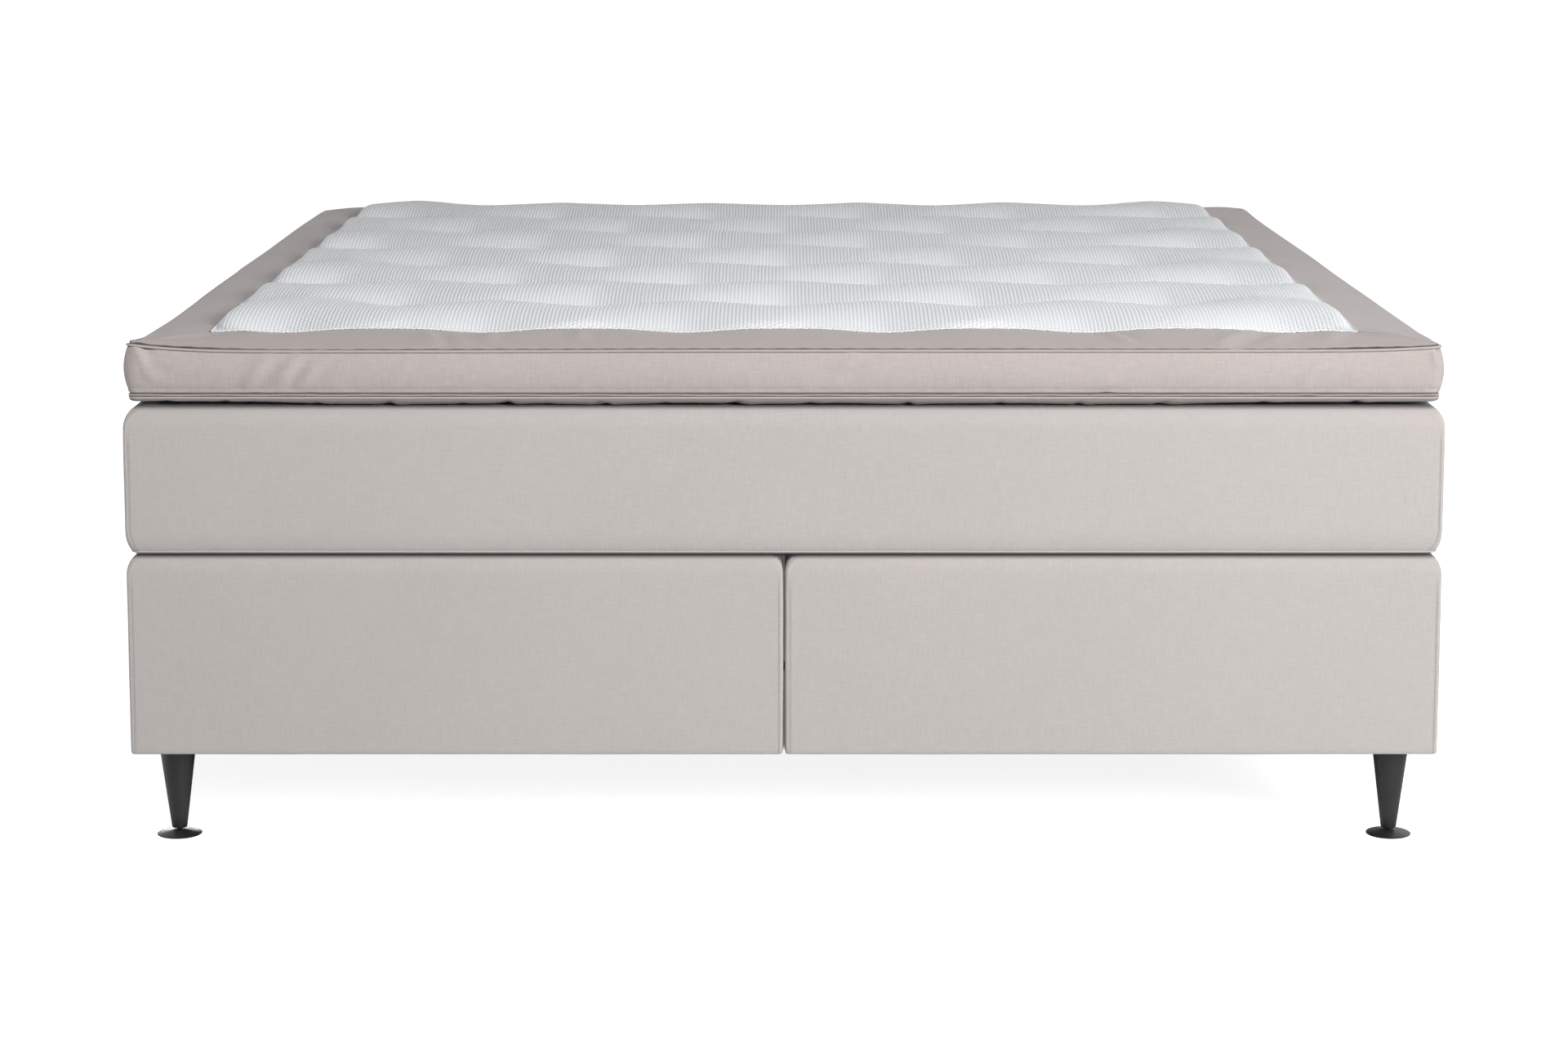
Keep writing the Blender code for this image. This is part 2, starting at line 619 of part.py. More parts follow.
def topper_core(name):
    """Foam slab that fills the zipped cover."""
    wall = TOPPER_CLOTH + SEAT
    curve = [(BAND_BULGE + wall, ZIP_BOTTOM)]
    curve += [(inset, z) for inset, z in band_curve(wall) if z < CORE_TOP]
    curve.append((BAND_BULGE + wall + PIPING_RADIUS, CORE_TOP))
    bm = bmesh.new()
    add_loft(bm, [topper_ring(inset, z) for inset, z in curve])
    return finish(name, bm, "foam", smooth=True)


def tuft_pull(x, row):
    """How far a row draws the quilt down at x: a valley, deepest at its tufts, which alternate row by row."""
    shift = 0.5 if row % 2 == 0 else 0.0
    phase = x / TUFT_SPACING + shift
    near = (0.5 + 0.5 * math.cos(2 * math.pi * phase)) ** 2
    return VALLEY_DEPTH + (TUFT_DEPTH - VALLEY_DEPTH) * near


def quilt_height(x, y):
    """Top of the quilted panel: rounded rolls across the bed with a tufted valley between each two."""
    place = (y + QUILT_LENGTH / 2) / ROW_PITCH
    row = min(int(place), TUFT_ROWS - 1)
    share = place - row
    drop = 0.0
    for near_row, distance in ((row, share), (row + 1, 1 - share)):
        drop = max(drop, tuft_pull(x, near_row) * max(0.0, 1 - 2 * distance) ** 2)
    return SEAM_Z + QUILT_CREST - drop


def topper_quilt(name):
    """Tufted white panel, laid on the core inside the border."""
    half_x, half_y = QUILT_WIDTH / 2, QUILT_LENGTH / 2
    step = TUFT_SPACING / QUILT_CELLS_PER_SPACING
    reach = int((half_x - step / 2) / step)
    xs = [-half_x] + [k * step for k in range(-reach, reach + 1)] + [half_x]
    count = TUFT_ROWS * QUILT_CELLS_PER_ROW
    ys = [-half_y + k * QUILT_LENGTH / count for k in range(count + 1)]
    bm = bmesh.new()
    grid = []
    for j, y in enumerate(ys):
        line = []
        for i, x in enumerate(xs):
            rim = i in (0, len(xs) - 1) or j in (0, count)
            z = SEAM_Z + QUILT_EDGE if rim else quilt_height(x, y)
            line.append(bm.verts.new((x, y, z)))
        grid.append(line)
    for j in range(count):
        for i in range(len(xs) - 1):
            bm.faces.new((grid[j][i], grid[j][i + 1], grid[j + 1][i + 1], grid[j + 1][i]))
    rim = grid[0] + [line[-1] for line in grid[1:]] + grid[-1][-2::-1] + [line[0] for line in grid[-2:0:-1]]
    foot_ring = [bm.verts.new((v.co.x, v.co.y, CORE_TOP + SEAT)) for v in rim]
    for k in range(len(rim)):
        after = (k + 1) % len(rim)
        bm.faces.new((rim[k], foot_ring[k], foot_ring[after], rim[after]))
    bm.faces.new(foot_ring)
    return finish(name, bm, "quilt_knit", smooth=True)


# The zip's slider, at the head end


def slider_frame():
    """The slider's centre: the middle of the row of teeth, and the y of the bead's face at the head end."""
    x = -BED_WIDTH / 2 + TOPPER_CORNER + SLIDER_START_MARGIN
    y = BED_LENGTH / 2 - BAND_BULGE + ZIP_BEAD
    return x, y, (ZIP_BOTTOM + ZIP_TOP) / 2


def pin_offset():
    """From the bead's face out to the axis of the pull's pin."""
    return SLIDER_SLIP + SLIDER_WALL + LUG_REACH - KNUCKLE_RADIUS


def zip_slider(name):
    """Channel that rides over the teeth, with two lugs and a pin for the pull. Its parts are joined into one."""
    x, y, z = slider_frame()
    half = SLIDER_LENGTH / 2
    inner = ZIP_BEAD_HEIGHT / 2 + SLIDER_SLIP
    outer = inner + SLIDER_WALL
    lip = -ZIP_BEAD + SLIDER_SLIP
    face = SLIDER_SLIP + SLIDER_WALL
    channel = [(lip, -outer), (face, -outer), (face, outer), (lip, outer), (lip, inner), (SLIDER_SLIP, inner),
               (SLIDER_SLIP, -inner), (lip, -inner)]
    bm = bmesh.new()
    add_loft(bm, [[(px, py, pz) for py, pz in channel] for px in (-half, half)])
    made = finish(name, bm, "zinc", (x, y, z))
    bm = bmesh.new()
    reach = face + LUG_REACH
    for s in (-1, 1):
        low, high = sorted((s * outer, s * (outer - LUG_HEIGHT)))
        add_box(bm, (-KNUCKLE_RADIUS, face - SLIDER_WALL / 2, low), (KNUCKLE_RADIUS, reach, high))
    unite(made, finish(name + "_lugs", bm, "zinc", (x, y, z)))
    bm = bmesh.new()
    overlap = outer - LUG_HEIGHT / 2
    add_turned(bm, [(0, overlap), (PIN_RADIUS, overlap), (PIN_RADIUS, -overlap), (0, -overlap)], PIN_STEPS,
               centre=(0, pin_offset(), 0))
    unite(made, finish(name + "_pin", bm, "zinc", (x, y, z)))
    return made


def unite(target, other):
    """Joins another object into target, and hides the original."""
    other.hide_render = True
    other.display_type = "WIRE"
    join = target.modifiers.new("join_" + other.name, "BOOLEAN")
    join.operation = "UNION"
    join.solver = "EXACT"
    join.object = other


def zip_pull(name):
    """Tab with a knuckle round the slider's pin. It lies along the zip, and its origin is on the pin."""
    x, y, z = slider_frame()
    half = ZIP_BEAD_HEIGHT / 2 + SLIDER_SLIP + SLIDER_WALL - LUG_HEIGHT - KNUCKLE_SLIP
    hole = PIN_RADIUS + KNUCKLE_SLIP
    bm = bmesh.new()
    knuckle = [(hole, half), (KNUCKLE_RADIUS, half), (KNUCKLE_RADIUS, -half), (hole, -half)]
    add_turned(bm, knuckle, PIN_STEPS, loop=True)
    place = (x, y + pin_offset(), z)
    made = finish(name, bm, "zinc", place)
    bm = bmesh.new()
    root = (hole + KNUCKLE_RADIUS) / 2
    add_box(bm, (root, -PULL_THICKNESS / 2, -half), (PULL_LENGTH, PULL_THICKNESS / 2, half))
    unite(made, finish(name + "_tab", bm, "zinc", place))
    return made


def build_base(side):
    sign = SIDES[side]
    x = sign * BASE_X
    side_rail(f"{side}_outer_rail", x, sign)
    side_rail(f"{side}_inner_rail", x, -sign)
    end_rail(f"{side}_foot_rail", x, -1)
    end_rail(f"{side}_head_rail", x, 1)
    leg_board(f"{side}_outer_leg_board", side, "outer")
    leg_board(f"{side}_inner_leg_board", side, "inner")
    slat_roll(f"{side}_slat_roll", x)
    width, length = BASE_WIDTH - 2 * RAIL_BACK, BED_LENGTH - 2 * RAIL_BACK
    spring_unit(f"{side}_spring_unit", width, length, BASE_POCKET_PITCH, SLAT_TOP + SEAT, RAIL_TOP, x)
    sheet(f"{side}_felt_pad", BASE_WIDTH, BED_LENGTH, SKIN, FELT_BOTTOM, FELT_BOTTOM + FELT, "felt", x)
    rolled_pad(f"{side}_foam_pad", BASE_WIDTH, BASE_ROLL_DEPTH, BASE_ROLL_HEIGHT, BASE_FOAM_BOTTOM, 1, x)
    base_cover(f"{side}_cover", x)
    dust_cloth(f"{side}_dust_cloth", side, x)
    for place_name, place in leg_places(side).items():
        leg(f"leg_{place_name}", place, PLATE_STEP if "outer" in place_name else 0)
        foot(f"foot_{place_name}", place)


def build_mattress():
    low, high = LOWER_FOAM_TOP + SEAT, UPPER_FOAM_BOTTOM - SEAT
    inset = SKIN + MATTRESS_EDGE_FOAM + SEAT
    mattress_underside("mattress_underside")
    rolled_pad("mattress_lower_foam", BED_WIDTH, MATTRESS_LOW_ROLL_DEPTH, MATTRESS_LOW_ROLL_HEIGHT,
               LOWER_FOAM_TOP, -1, 0)
    edge_foam("mattress_edge_foam", BED_WIDTH, MATTRESS_EDGE_FOAM, low, high)
    spring_unit("mattress_spring_unit", BED_WIDTH - 2 * inset, BED_LENGTH - 2 * inset, MATTRESS_POCKET_PITCH,
                low, high, 0)
    rolled_pad("mattress_upper_foam", BED_WIDTH, MATTRESS_TOP_ROLL_DEPTH, MATTRESS_TOP_ROLL_HEIGHT,
               UPPER_FOAM_BOTTOM, 1, 0)
    mattress_cover("mattress_cover")


def build_topper():
    topper_bottom("topper_bottom_panel")
    topper_zip("topper_zip")
    inner = band_curve(TOPPER_CLOTH)[::-1]
    topper_loop("topper_side_band", band_curve(0) + inner, "topper_fabric")
    topper_piping("topper_piping")
    topper_border("topper_border")
    topper_core("topper_core")
    topper_quilt("topper_quilt")
    zip_slider("zip_slider")
    zip_pull("zip_pull")


clear_scene()
for base_side in SIDES:
    build_base(base_side)
for plate_name, plate_end in LEG_ENDS.items():
    joining_plate(f"joining_plate_{plate_name}", plate_end)
build_mattress()
build_topper()
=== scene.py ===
# %% [markdown]
# # Dressing a box spring bed
# The bed is two sprung bases on tapered legs, one sprung mattress across both, and a tufted topper in a
# zipped cover. The frame holds every piece of it at its real size. This script makes what the eye sees:
# cloth that is rolled, sewn and tufted, a zip with its teeth, and turned legs. All lengths are in metres.

import math

import bmesh
import bpy
import numpy as np
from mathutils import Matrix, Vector, noise


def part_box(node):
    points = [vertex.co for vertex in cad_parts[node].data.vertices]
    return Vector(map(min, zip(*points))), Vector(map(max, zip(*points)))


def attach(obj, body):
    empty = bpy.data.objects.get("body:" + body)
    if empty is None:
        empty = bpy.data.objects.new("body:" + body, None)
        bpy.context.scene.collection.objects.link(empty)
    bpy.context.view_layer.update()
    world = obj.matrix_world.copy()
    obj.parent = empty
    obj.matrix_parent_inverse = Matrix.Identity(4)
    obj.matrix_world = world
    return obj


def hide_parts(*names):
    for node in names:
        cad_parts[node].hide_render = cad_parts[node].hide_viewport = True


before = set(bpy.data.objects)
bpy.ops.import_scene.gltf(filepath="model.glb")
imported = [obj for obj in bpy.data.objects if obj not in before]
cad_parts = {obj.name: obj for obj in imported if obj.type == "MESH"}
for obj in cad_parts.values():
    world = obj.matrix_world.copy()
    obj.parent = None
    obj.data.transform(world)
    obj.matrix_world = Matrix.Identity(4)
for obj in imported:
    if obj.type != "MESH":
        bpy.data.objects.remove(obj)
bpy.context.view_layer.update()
scene = bpy.context.scene

# %% [markdown]
# ## The camera
# The picture was taken from in front of the foot end, from above the topper. A product photographer keeps
# the uprights parallel by shifting the lens. Here most of that is a small tilt instead, with only a little
# shift, because other views of the bed keep the camera's shift and would lose the bed from the frame.

# %% Place the camera
CAMERA_PLACE = (0.0, -5.545, 1.311)
CAMERA_TILT = math.radians(7.52)
CAMERA_LENS = 77.67  # millimetres, on a sensor 36 mm wide
CAMERA_SHIFT = -0.12

camera_data = bpy.data.cameras.new("camera")
camera_data.lens = CAMERA_LENS
camera_data.shift_y = CAMERA_SHIFT
camera = bpy.data.objects.new("camera", camera_data)
camera.location = CAMERA_PLACE
camera.rotation_euler = (math.pi / 2 - CAMERA_TILT, 0, 0)
scene.collection.objects.link(camera)
scene.camera = camera
scene.view_settings.view_transform = "Standard"
print("camera tilts down by", round(math.degrees(CAMERA_TILT), 2), "degrees")

# %% [markdown]
# ## Node maths as Python
# A woven surface is a sum of waves and noises. Written with nodes alone, such a sum is hard to read, so a
# Wire stands for one socket, and Python's own operators on it add the Math nodes. Nodes holds one tree, and
# its node method makes any kind of node. A Finish is the tree of one material.

# %% Wires and trees
FULL_TURN = 2 * math.pi
CLOTH_MAP = "cloth"
# the mesh attribute that carries painted shade: how much the cloth is darkened in seams, tucks and gaps
PAINTED_SHADE_MARK = "deep"


class Wire:
    """The output of a node. Arithmetic on it adds Math nodes to the same tree."""

    def __init__(self, nodes, socket):
        self.nodes, self.socket = nodes, socket

    def wave(self, length):
        """A sine that comes back to the same height after each length."""
        return (self * (FULL_TURN / length)).sine()


def math_method(operation, reflected=False):
    """A method that adds one Math node. A reflected one has the wire on the right of the sign."""
    def method(self, other=0.0):
        pair = (other, self) if reflected else (self, other)
        return self.nodes.node("ShaderNodeMath", {"operation": operation}, dict(enumerate(pair)))
    return method


SIGNS = {"add": "ADD", "sub": "SUBTRACT", "mul": "MULTIPLY", "truediv": "DIVIDE", "pow": "POWER"}
WORDS = {"sine": "SINE", "cosine": "COSINE", "size": "ABSOLUTE", "above": "GREATER_THAN"}
for sign, operation in SIGNS.items():
    setattr(Wire, f"__{sign}__", math_method(operation))
    setattr(Wire, f"__r{sign}__", math_method(operation, reflected=True))
for word, operation in WORDS.items():
    setattr(Wire, word, math_method(operation))


class Nodes:
    """A node tree, and the ways to add to it."""

    def __init__(self, tree):
        self.tree = tree

    def node(self, kind, settings, sockets, output=0):
        """Adds a node: its settings, then values or wires into its sockets. Returns one output as a Wire."""
        made = self.tree.nodes.new(kind)
        for key, value in settings.items():
            setattr(made, key, value)
        for key, value in sockets.items():
            self.feed(made.inputs[key], value)
        return Wire(self, made.outputs[output])

    def feed(self, socket, value):
        if isinstance(value, Wire):
            self.tree.links.new(value.socket, socket)
        else:
            socket.default_value = value

    def split(self, vector):
        parts = self.tree.nodes.new("ShaderNodeSeparateXYZ")
        self.tree.links.new(vector.socket, parts.inputs[0])
        return [Wire(self, out) for out in parts.outputs]

    def join(self, x, y, z=0.0):
        return self.node("ShaderNodeCombineXYZ", {}, {0: x, 1: y, 2: z})


class Finish(Nodes):
    """One material: a Principled shader, and what feeds it."""

    def __init__(self, name, roughness=0.9, metallic=0.0, sheen=0.0):
        self.material = bpy.data.materials.new(name)
        self.material.use_nodes = True
        super().__init__(self.material.node_tree)
        self.shader = self.tree.nodes["Principled BSDF"].inputs
        for key, value in {"Roughness": roughness, "Metallic": metallic, "Sheen Weight": sheen,
                           "Sheen Roughness": 0.6}.items():
            self.shader[key].default_value = value

    def cloth_place(self):
        """The u and v of the cloth's own map, in metres along and across the weave."""
        return self.split(self.node("ShaderNodeUVMap", {"uv_map": CLOTH_MAP}, {}))[:2]

    def shadow(self):
        """The painted shade of the point, from 0 to 1, which each piece marks where it lies deep in a seam,
        tuck or gap.
        """
        return self.node("ShaderNodeAttribute", {"attribute_name": PAINTED_SHADE_MARK}, {}, "Fac")

    def object_place(self):
        """The x, y and z of the point on the piece, in metres."""
        return self.split(self.node("ShaderNodeTexCoord", {}, {}, "Object"))

    def noise(self, vector, scale, detail=2.0, roughness=0.5):
        values = {"Vector": vector, "Scale": scale, "Detail": detail, "Roughness": roughness}
        return self.node("ShaderNodeTexNoise", {}, values, "Fac")

    def cells(self, vector, scale):
        return self.node("ShaderNodeTexVoronoi", {}, {"Vector": vector, "Scale": scale}, "Distance")

    def mix(self, factor, first, second):
        """Between two colours, given as (r, g, b) or as wires."""
        sides = [c if isinstance(c, Wire) else (*c, 1.0) for c in (first, second)]
        return self.node("ShaderNodeMix", {"data_type": "RGBA"}, {0: factor, 6: sides[0], 7: sides[1]}, 2)

    def set(self, socket, value):
        """Gives a socket of the shader a number, an (r, g, b) colour or a wire."""
        self.feed(self.shader[socket], (*value, 1.0) if isinstance(value, tuple) else value)

    def bump(self, height, depth):
        """Raises the surface by height, a wire from 0 to 1, times depth in metres."""
        values = {"Height": height, "Distance": depth, "Strength": 1.0}
        self.set("Normal", self.node("ShaderNodeBump", {}, values))


def shade(colour, factor):
    """The same colour, lighter or darker."""
    return tuple(min(1.0, c * factor) for c in colour)


print("a wire has", sum(callable(v) for v in vars(Wire).values()), "methods")

# %% [markdown]
# ## Studio
# The bed stands on white. Large soft lamps light it from the front, the right one stronger, a weaker one
# reaches over it from the head end, and two low ones behind and at the left keep its other walls from going
# dark. The floor and the world look white to the camera because of what they are to camera rays, not
# because more light falls on the bed, and the floor still takes the bed's soft shadow.

# %% Floor, world and lamps
FLOOR_REACH = 40.0
GLOW_NEAR = 1.8  # out to here the floor is slightly grey, so the bed has something to stand on
GLOW_FADE = 2.4
FLOOR_GREY = (0.86, 0.86, 0.86)
WORLD_LIGHT = 0.05


def link_new(name, data):
    """A new object in the scene."""
    made = bpy.data.objects.new(name, data)
    scene.collection.objects.link(made)
    return made


def make_floor():
    mesh = bpy.data.meshes.new("studio_floor")
    r = FLOOR_REACH
    mesh.from_pydata([(-r, -r, 0), (r, -r, 0), (r, r, 0), (-r, r, 0)], [], [(0, 1, 2, 3)])
    floor = link_new("studio_floor", mesh)
    paint = Finish("studio_white", roughness=1.0)
    x, y, z = paint.object_place()
    grain = paint.noise(paint.join(x, y, z), 3.0)
    paint.set("Base Color", paint.mix(grain, FLOOR_GREY, (0.88, 0.88, 0.88)))
    seen = paint.node("ShaderNodeLightPath", {}, {}, "Is Camera Ray")
    glow = paint.mix(((x * x + y * y) ** 0.5 - GLOW_NEAR) / GLOW_FADE, FLOOR_GREY, (1, 1, 1))
    paint.set("Emission Color", paint.mix(seen, (0, 0, 0), glow))
    paint.set("Emission Strength", 1.0)
    paint.set("Specular IOR Level", 0.0)
    mesh.materials.append(paint.material)


def make_world():
    scene.world = bpy.data.worlds.new("studio")
    scene.world.use_nodes = True
    sky = Nodes(scene.world.node_tree)
    light = sky.tree.nodes["Background"]
    light.inputs["Color"].default_value = (0.96, 0.98, 1.0, 1.0)
    light.inputs["Strength"].default_value = WORLD_LIGHT
    path = sky.tree.nodes.new("ShaderNodeLightPath")
    rays = [Wire(sky, path.outputs[key]) for key in ("Is Camera Ray", "Is Glossy Ray", "Is Transmission Ray")]
    white = sky.node("ShaderNodeBackground", {}, {"Color": (1, 1, 1, 1), "Strength": 1.0})
    shown = sky.node("ShaderNodeMixShader", {}, {0: (rays[0] + rays[1] + rays[2]).above(0.5),
                                                 1: Wire(sky, light.outputs[0]), 2: white})
    sky.feed(sky.tree.nodes["World Output"].inputs["Surface"], shown)


def add_lamp(name, place, aim, size, power, colour=(1, 1, 1)):
    data = bpy.data.lights.new(name, "AREA")
    data.shape = "RECTANGLE"
    data.size, data.size_y = size
    data.energy = power
    data.color = colour
    lamp = link_new(name, data)
    lamp.location = place
    lamp.rotation_euler = (Vector(aim) - Vector(place)).to_track_quat("-Z", "Y").to_euler()


make_floor()
make_world()
add_lamp("key_lamp", (4.2, -5.6, 2.6), (0.2, -0.4, 0.5), (2.4, 1.8), 337, (1.0, 0.99, 0.98))
add_lamp("high_lamp", (0.6, -4.4, 4.6), (0.0, 0.0, 0.6), (3.0, 2.0), 193, (1.0, 0.995, 0.99))
add_lamp("head_lamp", (3.6, 3.6, 3.2), (0.2, 0.3, 0.6), (3.0, 2.0), 34)
add_lamp("back_lamp", (-1.6, 6.2, 0.38), (0.0, 1.0, 0.36), (3.2, 0.6), 200)
add_lamp("side_lamp", (-6.2, 0.6, 0.34), (-0.9, 0.2, 0.34), (3.2, 0.5), 110)

# %% [markdown]
# ## Cloth finishes
# The covers are a plain weave of mixed yarns. Close up, each yarn is thicker and thinner along its length,
# which shows as short streaks both ways. From far, the mix of yarns shows as a faint mottle. Both are
# noises stretched along the cloth's own map, which is in metres, so the threads keep one size on every
# piece. The yarns themselves are two waves whose product makes the over and under of the weave.

# %% Woven and knitted finishes
THREAD = 0.0009  # from one yarn to the next but one
KNIT_COLUMN = 0.0055
KNIT_ROW = 0.007
KNIT_SLANT = 190


def woven(name, colour, warm, streaks=1.0):
    """Plain-woven cloth of mixed yarns. warm is the colour of the odd yarns in it."""
    cloth = Finish(name, roughness=0.92, sheen=0.22)
    u, v = cloth.cloth_place()

    def grain(along, across, offset, scale=1.0, detail=2.0):
        return cloth.noise(cloth.join(u * along, v * across, offset), scale, detail)

    warp, weft = grain(1100, 60, 0.0), grain(60, 1100, 3.0)
    slub = grain(560, 26, 5.0, detail=1.0) + grain(26, 560, 9.0, detail=1.0)
    cloud, blush = grain(1, 1, 7.0, 4.0, 3.0), grain(1, 1.6, 11.0, 2.6, 3.0)
    tone = 0.5 + (warp + weft - 1) * (0.75 * streaks) + (slub - 1) * (0.42 * streaks) + (cloud - 0.5) * 0.22
    plain, odd = (cloth.mix(tone, shade(c, 0.87), shade(c, 1.13)) for c in (colour, warm))
    blended = cloth.mix((blush - 0.35) * 0.9, plain, odd)
    # painted shade: the cloth's colour is darkened wherever a piece marks shade in a seam, tuck or gap
    cloth.set("Base Color", cloth.mix(cloth.shadow() * 0.96, blended, shade(colour, 0.06)))
    cloth.bump(u.wave(THREAD) * v.wave(THREAD) * 0.25 + (warp + weft) * 0.8, 0.0002)
    return cloth.material


def knitted(name, light, deep):
    """Double knit whose columns of slanting stitches run along v, each a half stitch behind the next. Its
    colour is darker where the stitches lie low, which is painted shade, and darker still where a piece marks
    painted shade.
    """
    cloth = Finish(name, roughness=0.85, sheen=0.2)
    u, v = cloth.cloth_place()
    column = u * (math.pi / KNIT_COLUMN)
    slant = v * (FULL_TURN / KNIT_ROW) + u * KNIT_SLANT
    stitch = (column.cosine() * slant.cosine() + 1) * 0.5
    rib = (column * 2).cosine() * 0.5 + 0.5
    loops = u.wave(0.0017) * v.wave(0.0013)
    fuzz = cloth.noise(cloth.join(u, v), 900, 2.0)
    cloud = cloth.noise(cloth.join(u, v), 3.0, 3.0)
    height = stitch * 0.54 + rib * 0.32 + loops * 0.04 + fuzz * 0.10
    # painted shade: the low parts of the stitches take the darker colour, with a random tone over it
    knit = cloth.mix(height * 0.85 + cloud * 0.16, deep, light)
    # painted shade in the quilt's marked valleys and at its tufts
    cloth.set("Base Color", cloth.mix(cloth.shadow() * 0.8, knit, shade(deep, 0.55)))
    cloth.bump(height, 0.0016)
    return cloth.material


def fleece(name, colour, pitch):
    """Bonded fibre cloth, spot-welded in a fine grid."""
    cloth = Finish(name, roughness=0.95, sheen=0.1)
    x, y, z = cloth.object_place()
    fibres = cloth.noise(cloth.join(x * 260, y * 900, z * 700), 1.0, 4.0)
    spots = (x.wave(pitch) * y.wave(pitch)) ** 2
    cloth.set("Base Color", cloth.mix(fibres * 0.8 + spots * 0.3, shade(colour, 0.75), shade(colour, 1.2)))
    cloth.bump(fibres - spots * 0.8, 0.0003)
    return cloth.material


cover_cloth = woven("cover_linen", (0.412, 0.388, 0.375), (0.422, 0.379, 0.366))
topper_cloth = woven("topper_linen", (0.396, 0.354, 0.342), (0.392, 0.336, 0.325), 1.2)
# the second colour of the quilt is the painted shade of its stitch hollows
quilt_cloth = knitted("quilt_knit", (0.90, 0.915, 0.935), (0.66, 0.69, 0.73))
dust_cloth_black = fleece("dust_cloth_black", (0.035, 0.035, 0.037), 0.0016)
pocket_fleece = fleece("pocket_fleece", (0.74, 0.75, 0.77), 0.002)
print("cloths:", cover_cloth.name, topper_cloth.name, quilt_cloth.name, pocket_fleece.name)

# %% [markdown]
# ## Timber, foam, felt, plastic and zinc
# Most of these are inside the bed and show when it is taken apart. Pine is cut along its grain, so the
# growth rings are long flames: a wave across the board, bent by a noise that is stretched along it. Foam is
# open cells, felt is pressed waste fibre with coloured flecks, and the legs are black moulded plastic with
# the faint orange peel that a mould leaves.

# %% Other finishes
def pine(name, along):
    """Planed pine, with its grain along the axis 'x' or 'y'."""
    wood = Finish(name, roughness=0.55)
    x, y, z = wood.object_place()
    run, cross = (x, y) if along == "x" else (y, x)
    bend = wood.noise(wood.join(run * 1.2, cross * 9, z * 9), 1.0, 2.0)
    rings = ((cross * 190 + z * 260 + bend * 26).sine() * 0.5 + 0.5) ** 2
    pores = wood.noise(wood.join(run * 40, cross * 1500, z * 1500), 1.0, 2.0)
    knots = wood.cells(wood.join(run * 2.2, cross * 7, z * 7), 1.0)
    plain = wood.mix(rings * 0.6 + pores * 0.35, (0.72, 0.53, 0.32), (0.50, 0.31, 0.15))
    wood.set("Base Color", wood.mix((0.1 - knots) * 9, plain, (0.24, 0.12, 0.05)))
    wood.set("Roughness", 0.5 + pores * 0.2)
    wood.bump(pores * 0.5 + rings * 0.3, 0.0003)
    return wood.material


def foamed(name, colour):
    """Cut foam with open cells."""
    foam = Finish(name, roughness=0.95)
    place = foam.join(*foam.object_place())
    cell, cloud = foam.cells(place, 620), foam.noise(place, 5.0, 3.0)
    foam.set("Base Color", foam.mix(cell * 0.9 + cloud * 0.4, shade(colour, 0.82), shade(colour, 1.06)))
    foam.bump(cell, 0.0005)
    return foam.material


def felted(name):
    """Pressed waste fibre with coloured flecks."""
    felt = Finish(name, roughness=1.0)
    x, y, z = felt.object_place()
    fibre = felt.noise(felt.join(x * 300, y * 420, z * 500), 1.0, 5.0, 0.7)
    place = felt.join(x, y, z)
    fleck, hue = felt.noise(place, 210, 1.0), felt.noise(place, 95, 0.0)
    grey = felt.mix(fibre, (0.10, 0.10, 0.105), (0.40, 0.39, 0.38))
    dyed = felt.mix(hue.above(0.5), (0.30, 0.09, 0.08), (0.08, 0.16, 0.33))
    felt.set("Base Color", felt.mix(fleck.above(0.66) * 0.7, grey, dyed))
    felt.bump(fibre, 0.0009)
    return felt.material


def moulded(name, tone, roughness):
    """Black moulded plastic."""
    plastic = Finish(name, roughness=roughness)
    place = plastic.join(*plastic.object_place())
    peel, wear = plastic.noise(place, 900, 2.0), plastic.noise(place, 45, 4.0)
    plastic.set("Base Color", plastic.mix(wear, (tone, tone, tone), (tone * 1.9, tone * 1.9, tone * 2.0)))
    plastic.set("Roughness", roughness + (wear - 0.5) * 0.25)
    plastic.bump(peel, 0.00012)
    return plastic.material


def plated(name):
    """Zinc-plated steel, with the pale spangle of the plating."""
    zinc = Finish(name, metallic=1.0)
    place = zinc.join(*zinc.object_place())
    spangle, brush = zinc.cells(place, 260), zinc.noise(place, 1300, 2.0)
    zinc.set("Base Color", zinc.mix(spangle * 1.4, (0.50, 0.51, 0.53), (0.70, 0.71, 0.71)))
    zinc.set("Roughness", 0.26 + brush * 0.2)
    zinc.bump(brush * 0.4 + spangle * 0.4, 0.00006)
    return zinc.material


def spun(name, colour, twist=0.0008):
    """Sewing thread or moulded coil: fine slanting lines round a strand."""
    thread = Finish(name, roughness=0.6, sheen=0.1)
    x, y, z = thread.object_place()
    lay = (x + y + z).wave(twist) * 0.5 + 0.5
    thread.set("Base Color", thread.mix(lay, shade(colour, 0.8), shade(colour, 1.15)))
    thread.bump(lay, 0.0001)
    return thread.material


pine_along_x, pine_along_y = pine("pine_along_x", "x"), pine("pine_along_y", "y")
cream_foam = foamed("cream_foam", (0.82, 0.79, 0.66))
grey_felt = felted("grey_felt")
leg_plastic, foot_plastic = moulded("leg_plastic", 0.008, 0.45), moulded("foot_plastic", 0.007, 0.5)
zinc_plate = plated("zinc_plate")
greige_thread = spun("greige_thread", (0.58, 0.55, 0.52))
topper_thread = spun("topper_thread", (0.60, 0.55, 0.52))
zip_coil = spun("zip_coil", (0.50, 0.46, 0.43), 0.0011)
print("other finishes:", [m.name for m in (pine_along_x, cream_foam, grey_felt, leg_plastic, zinc_plate)])

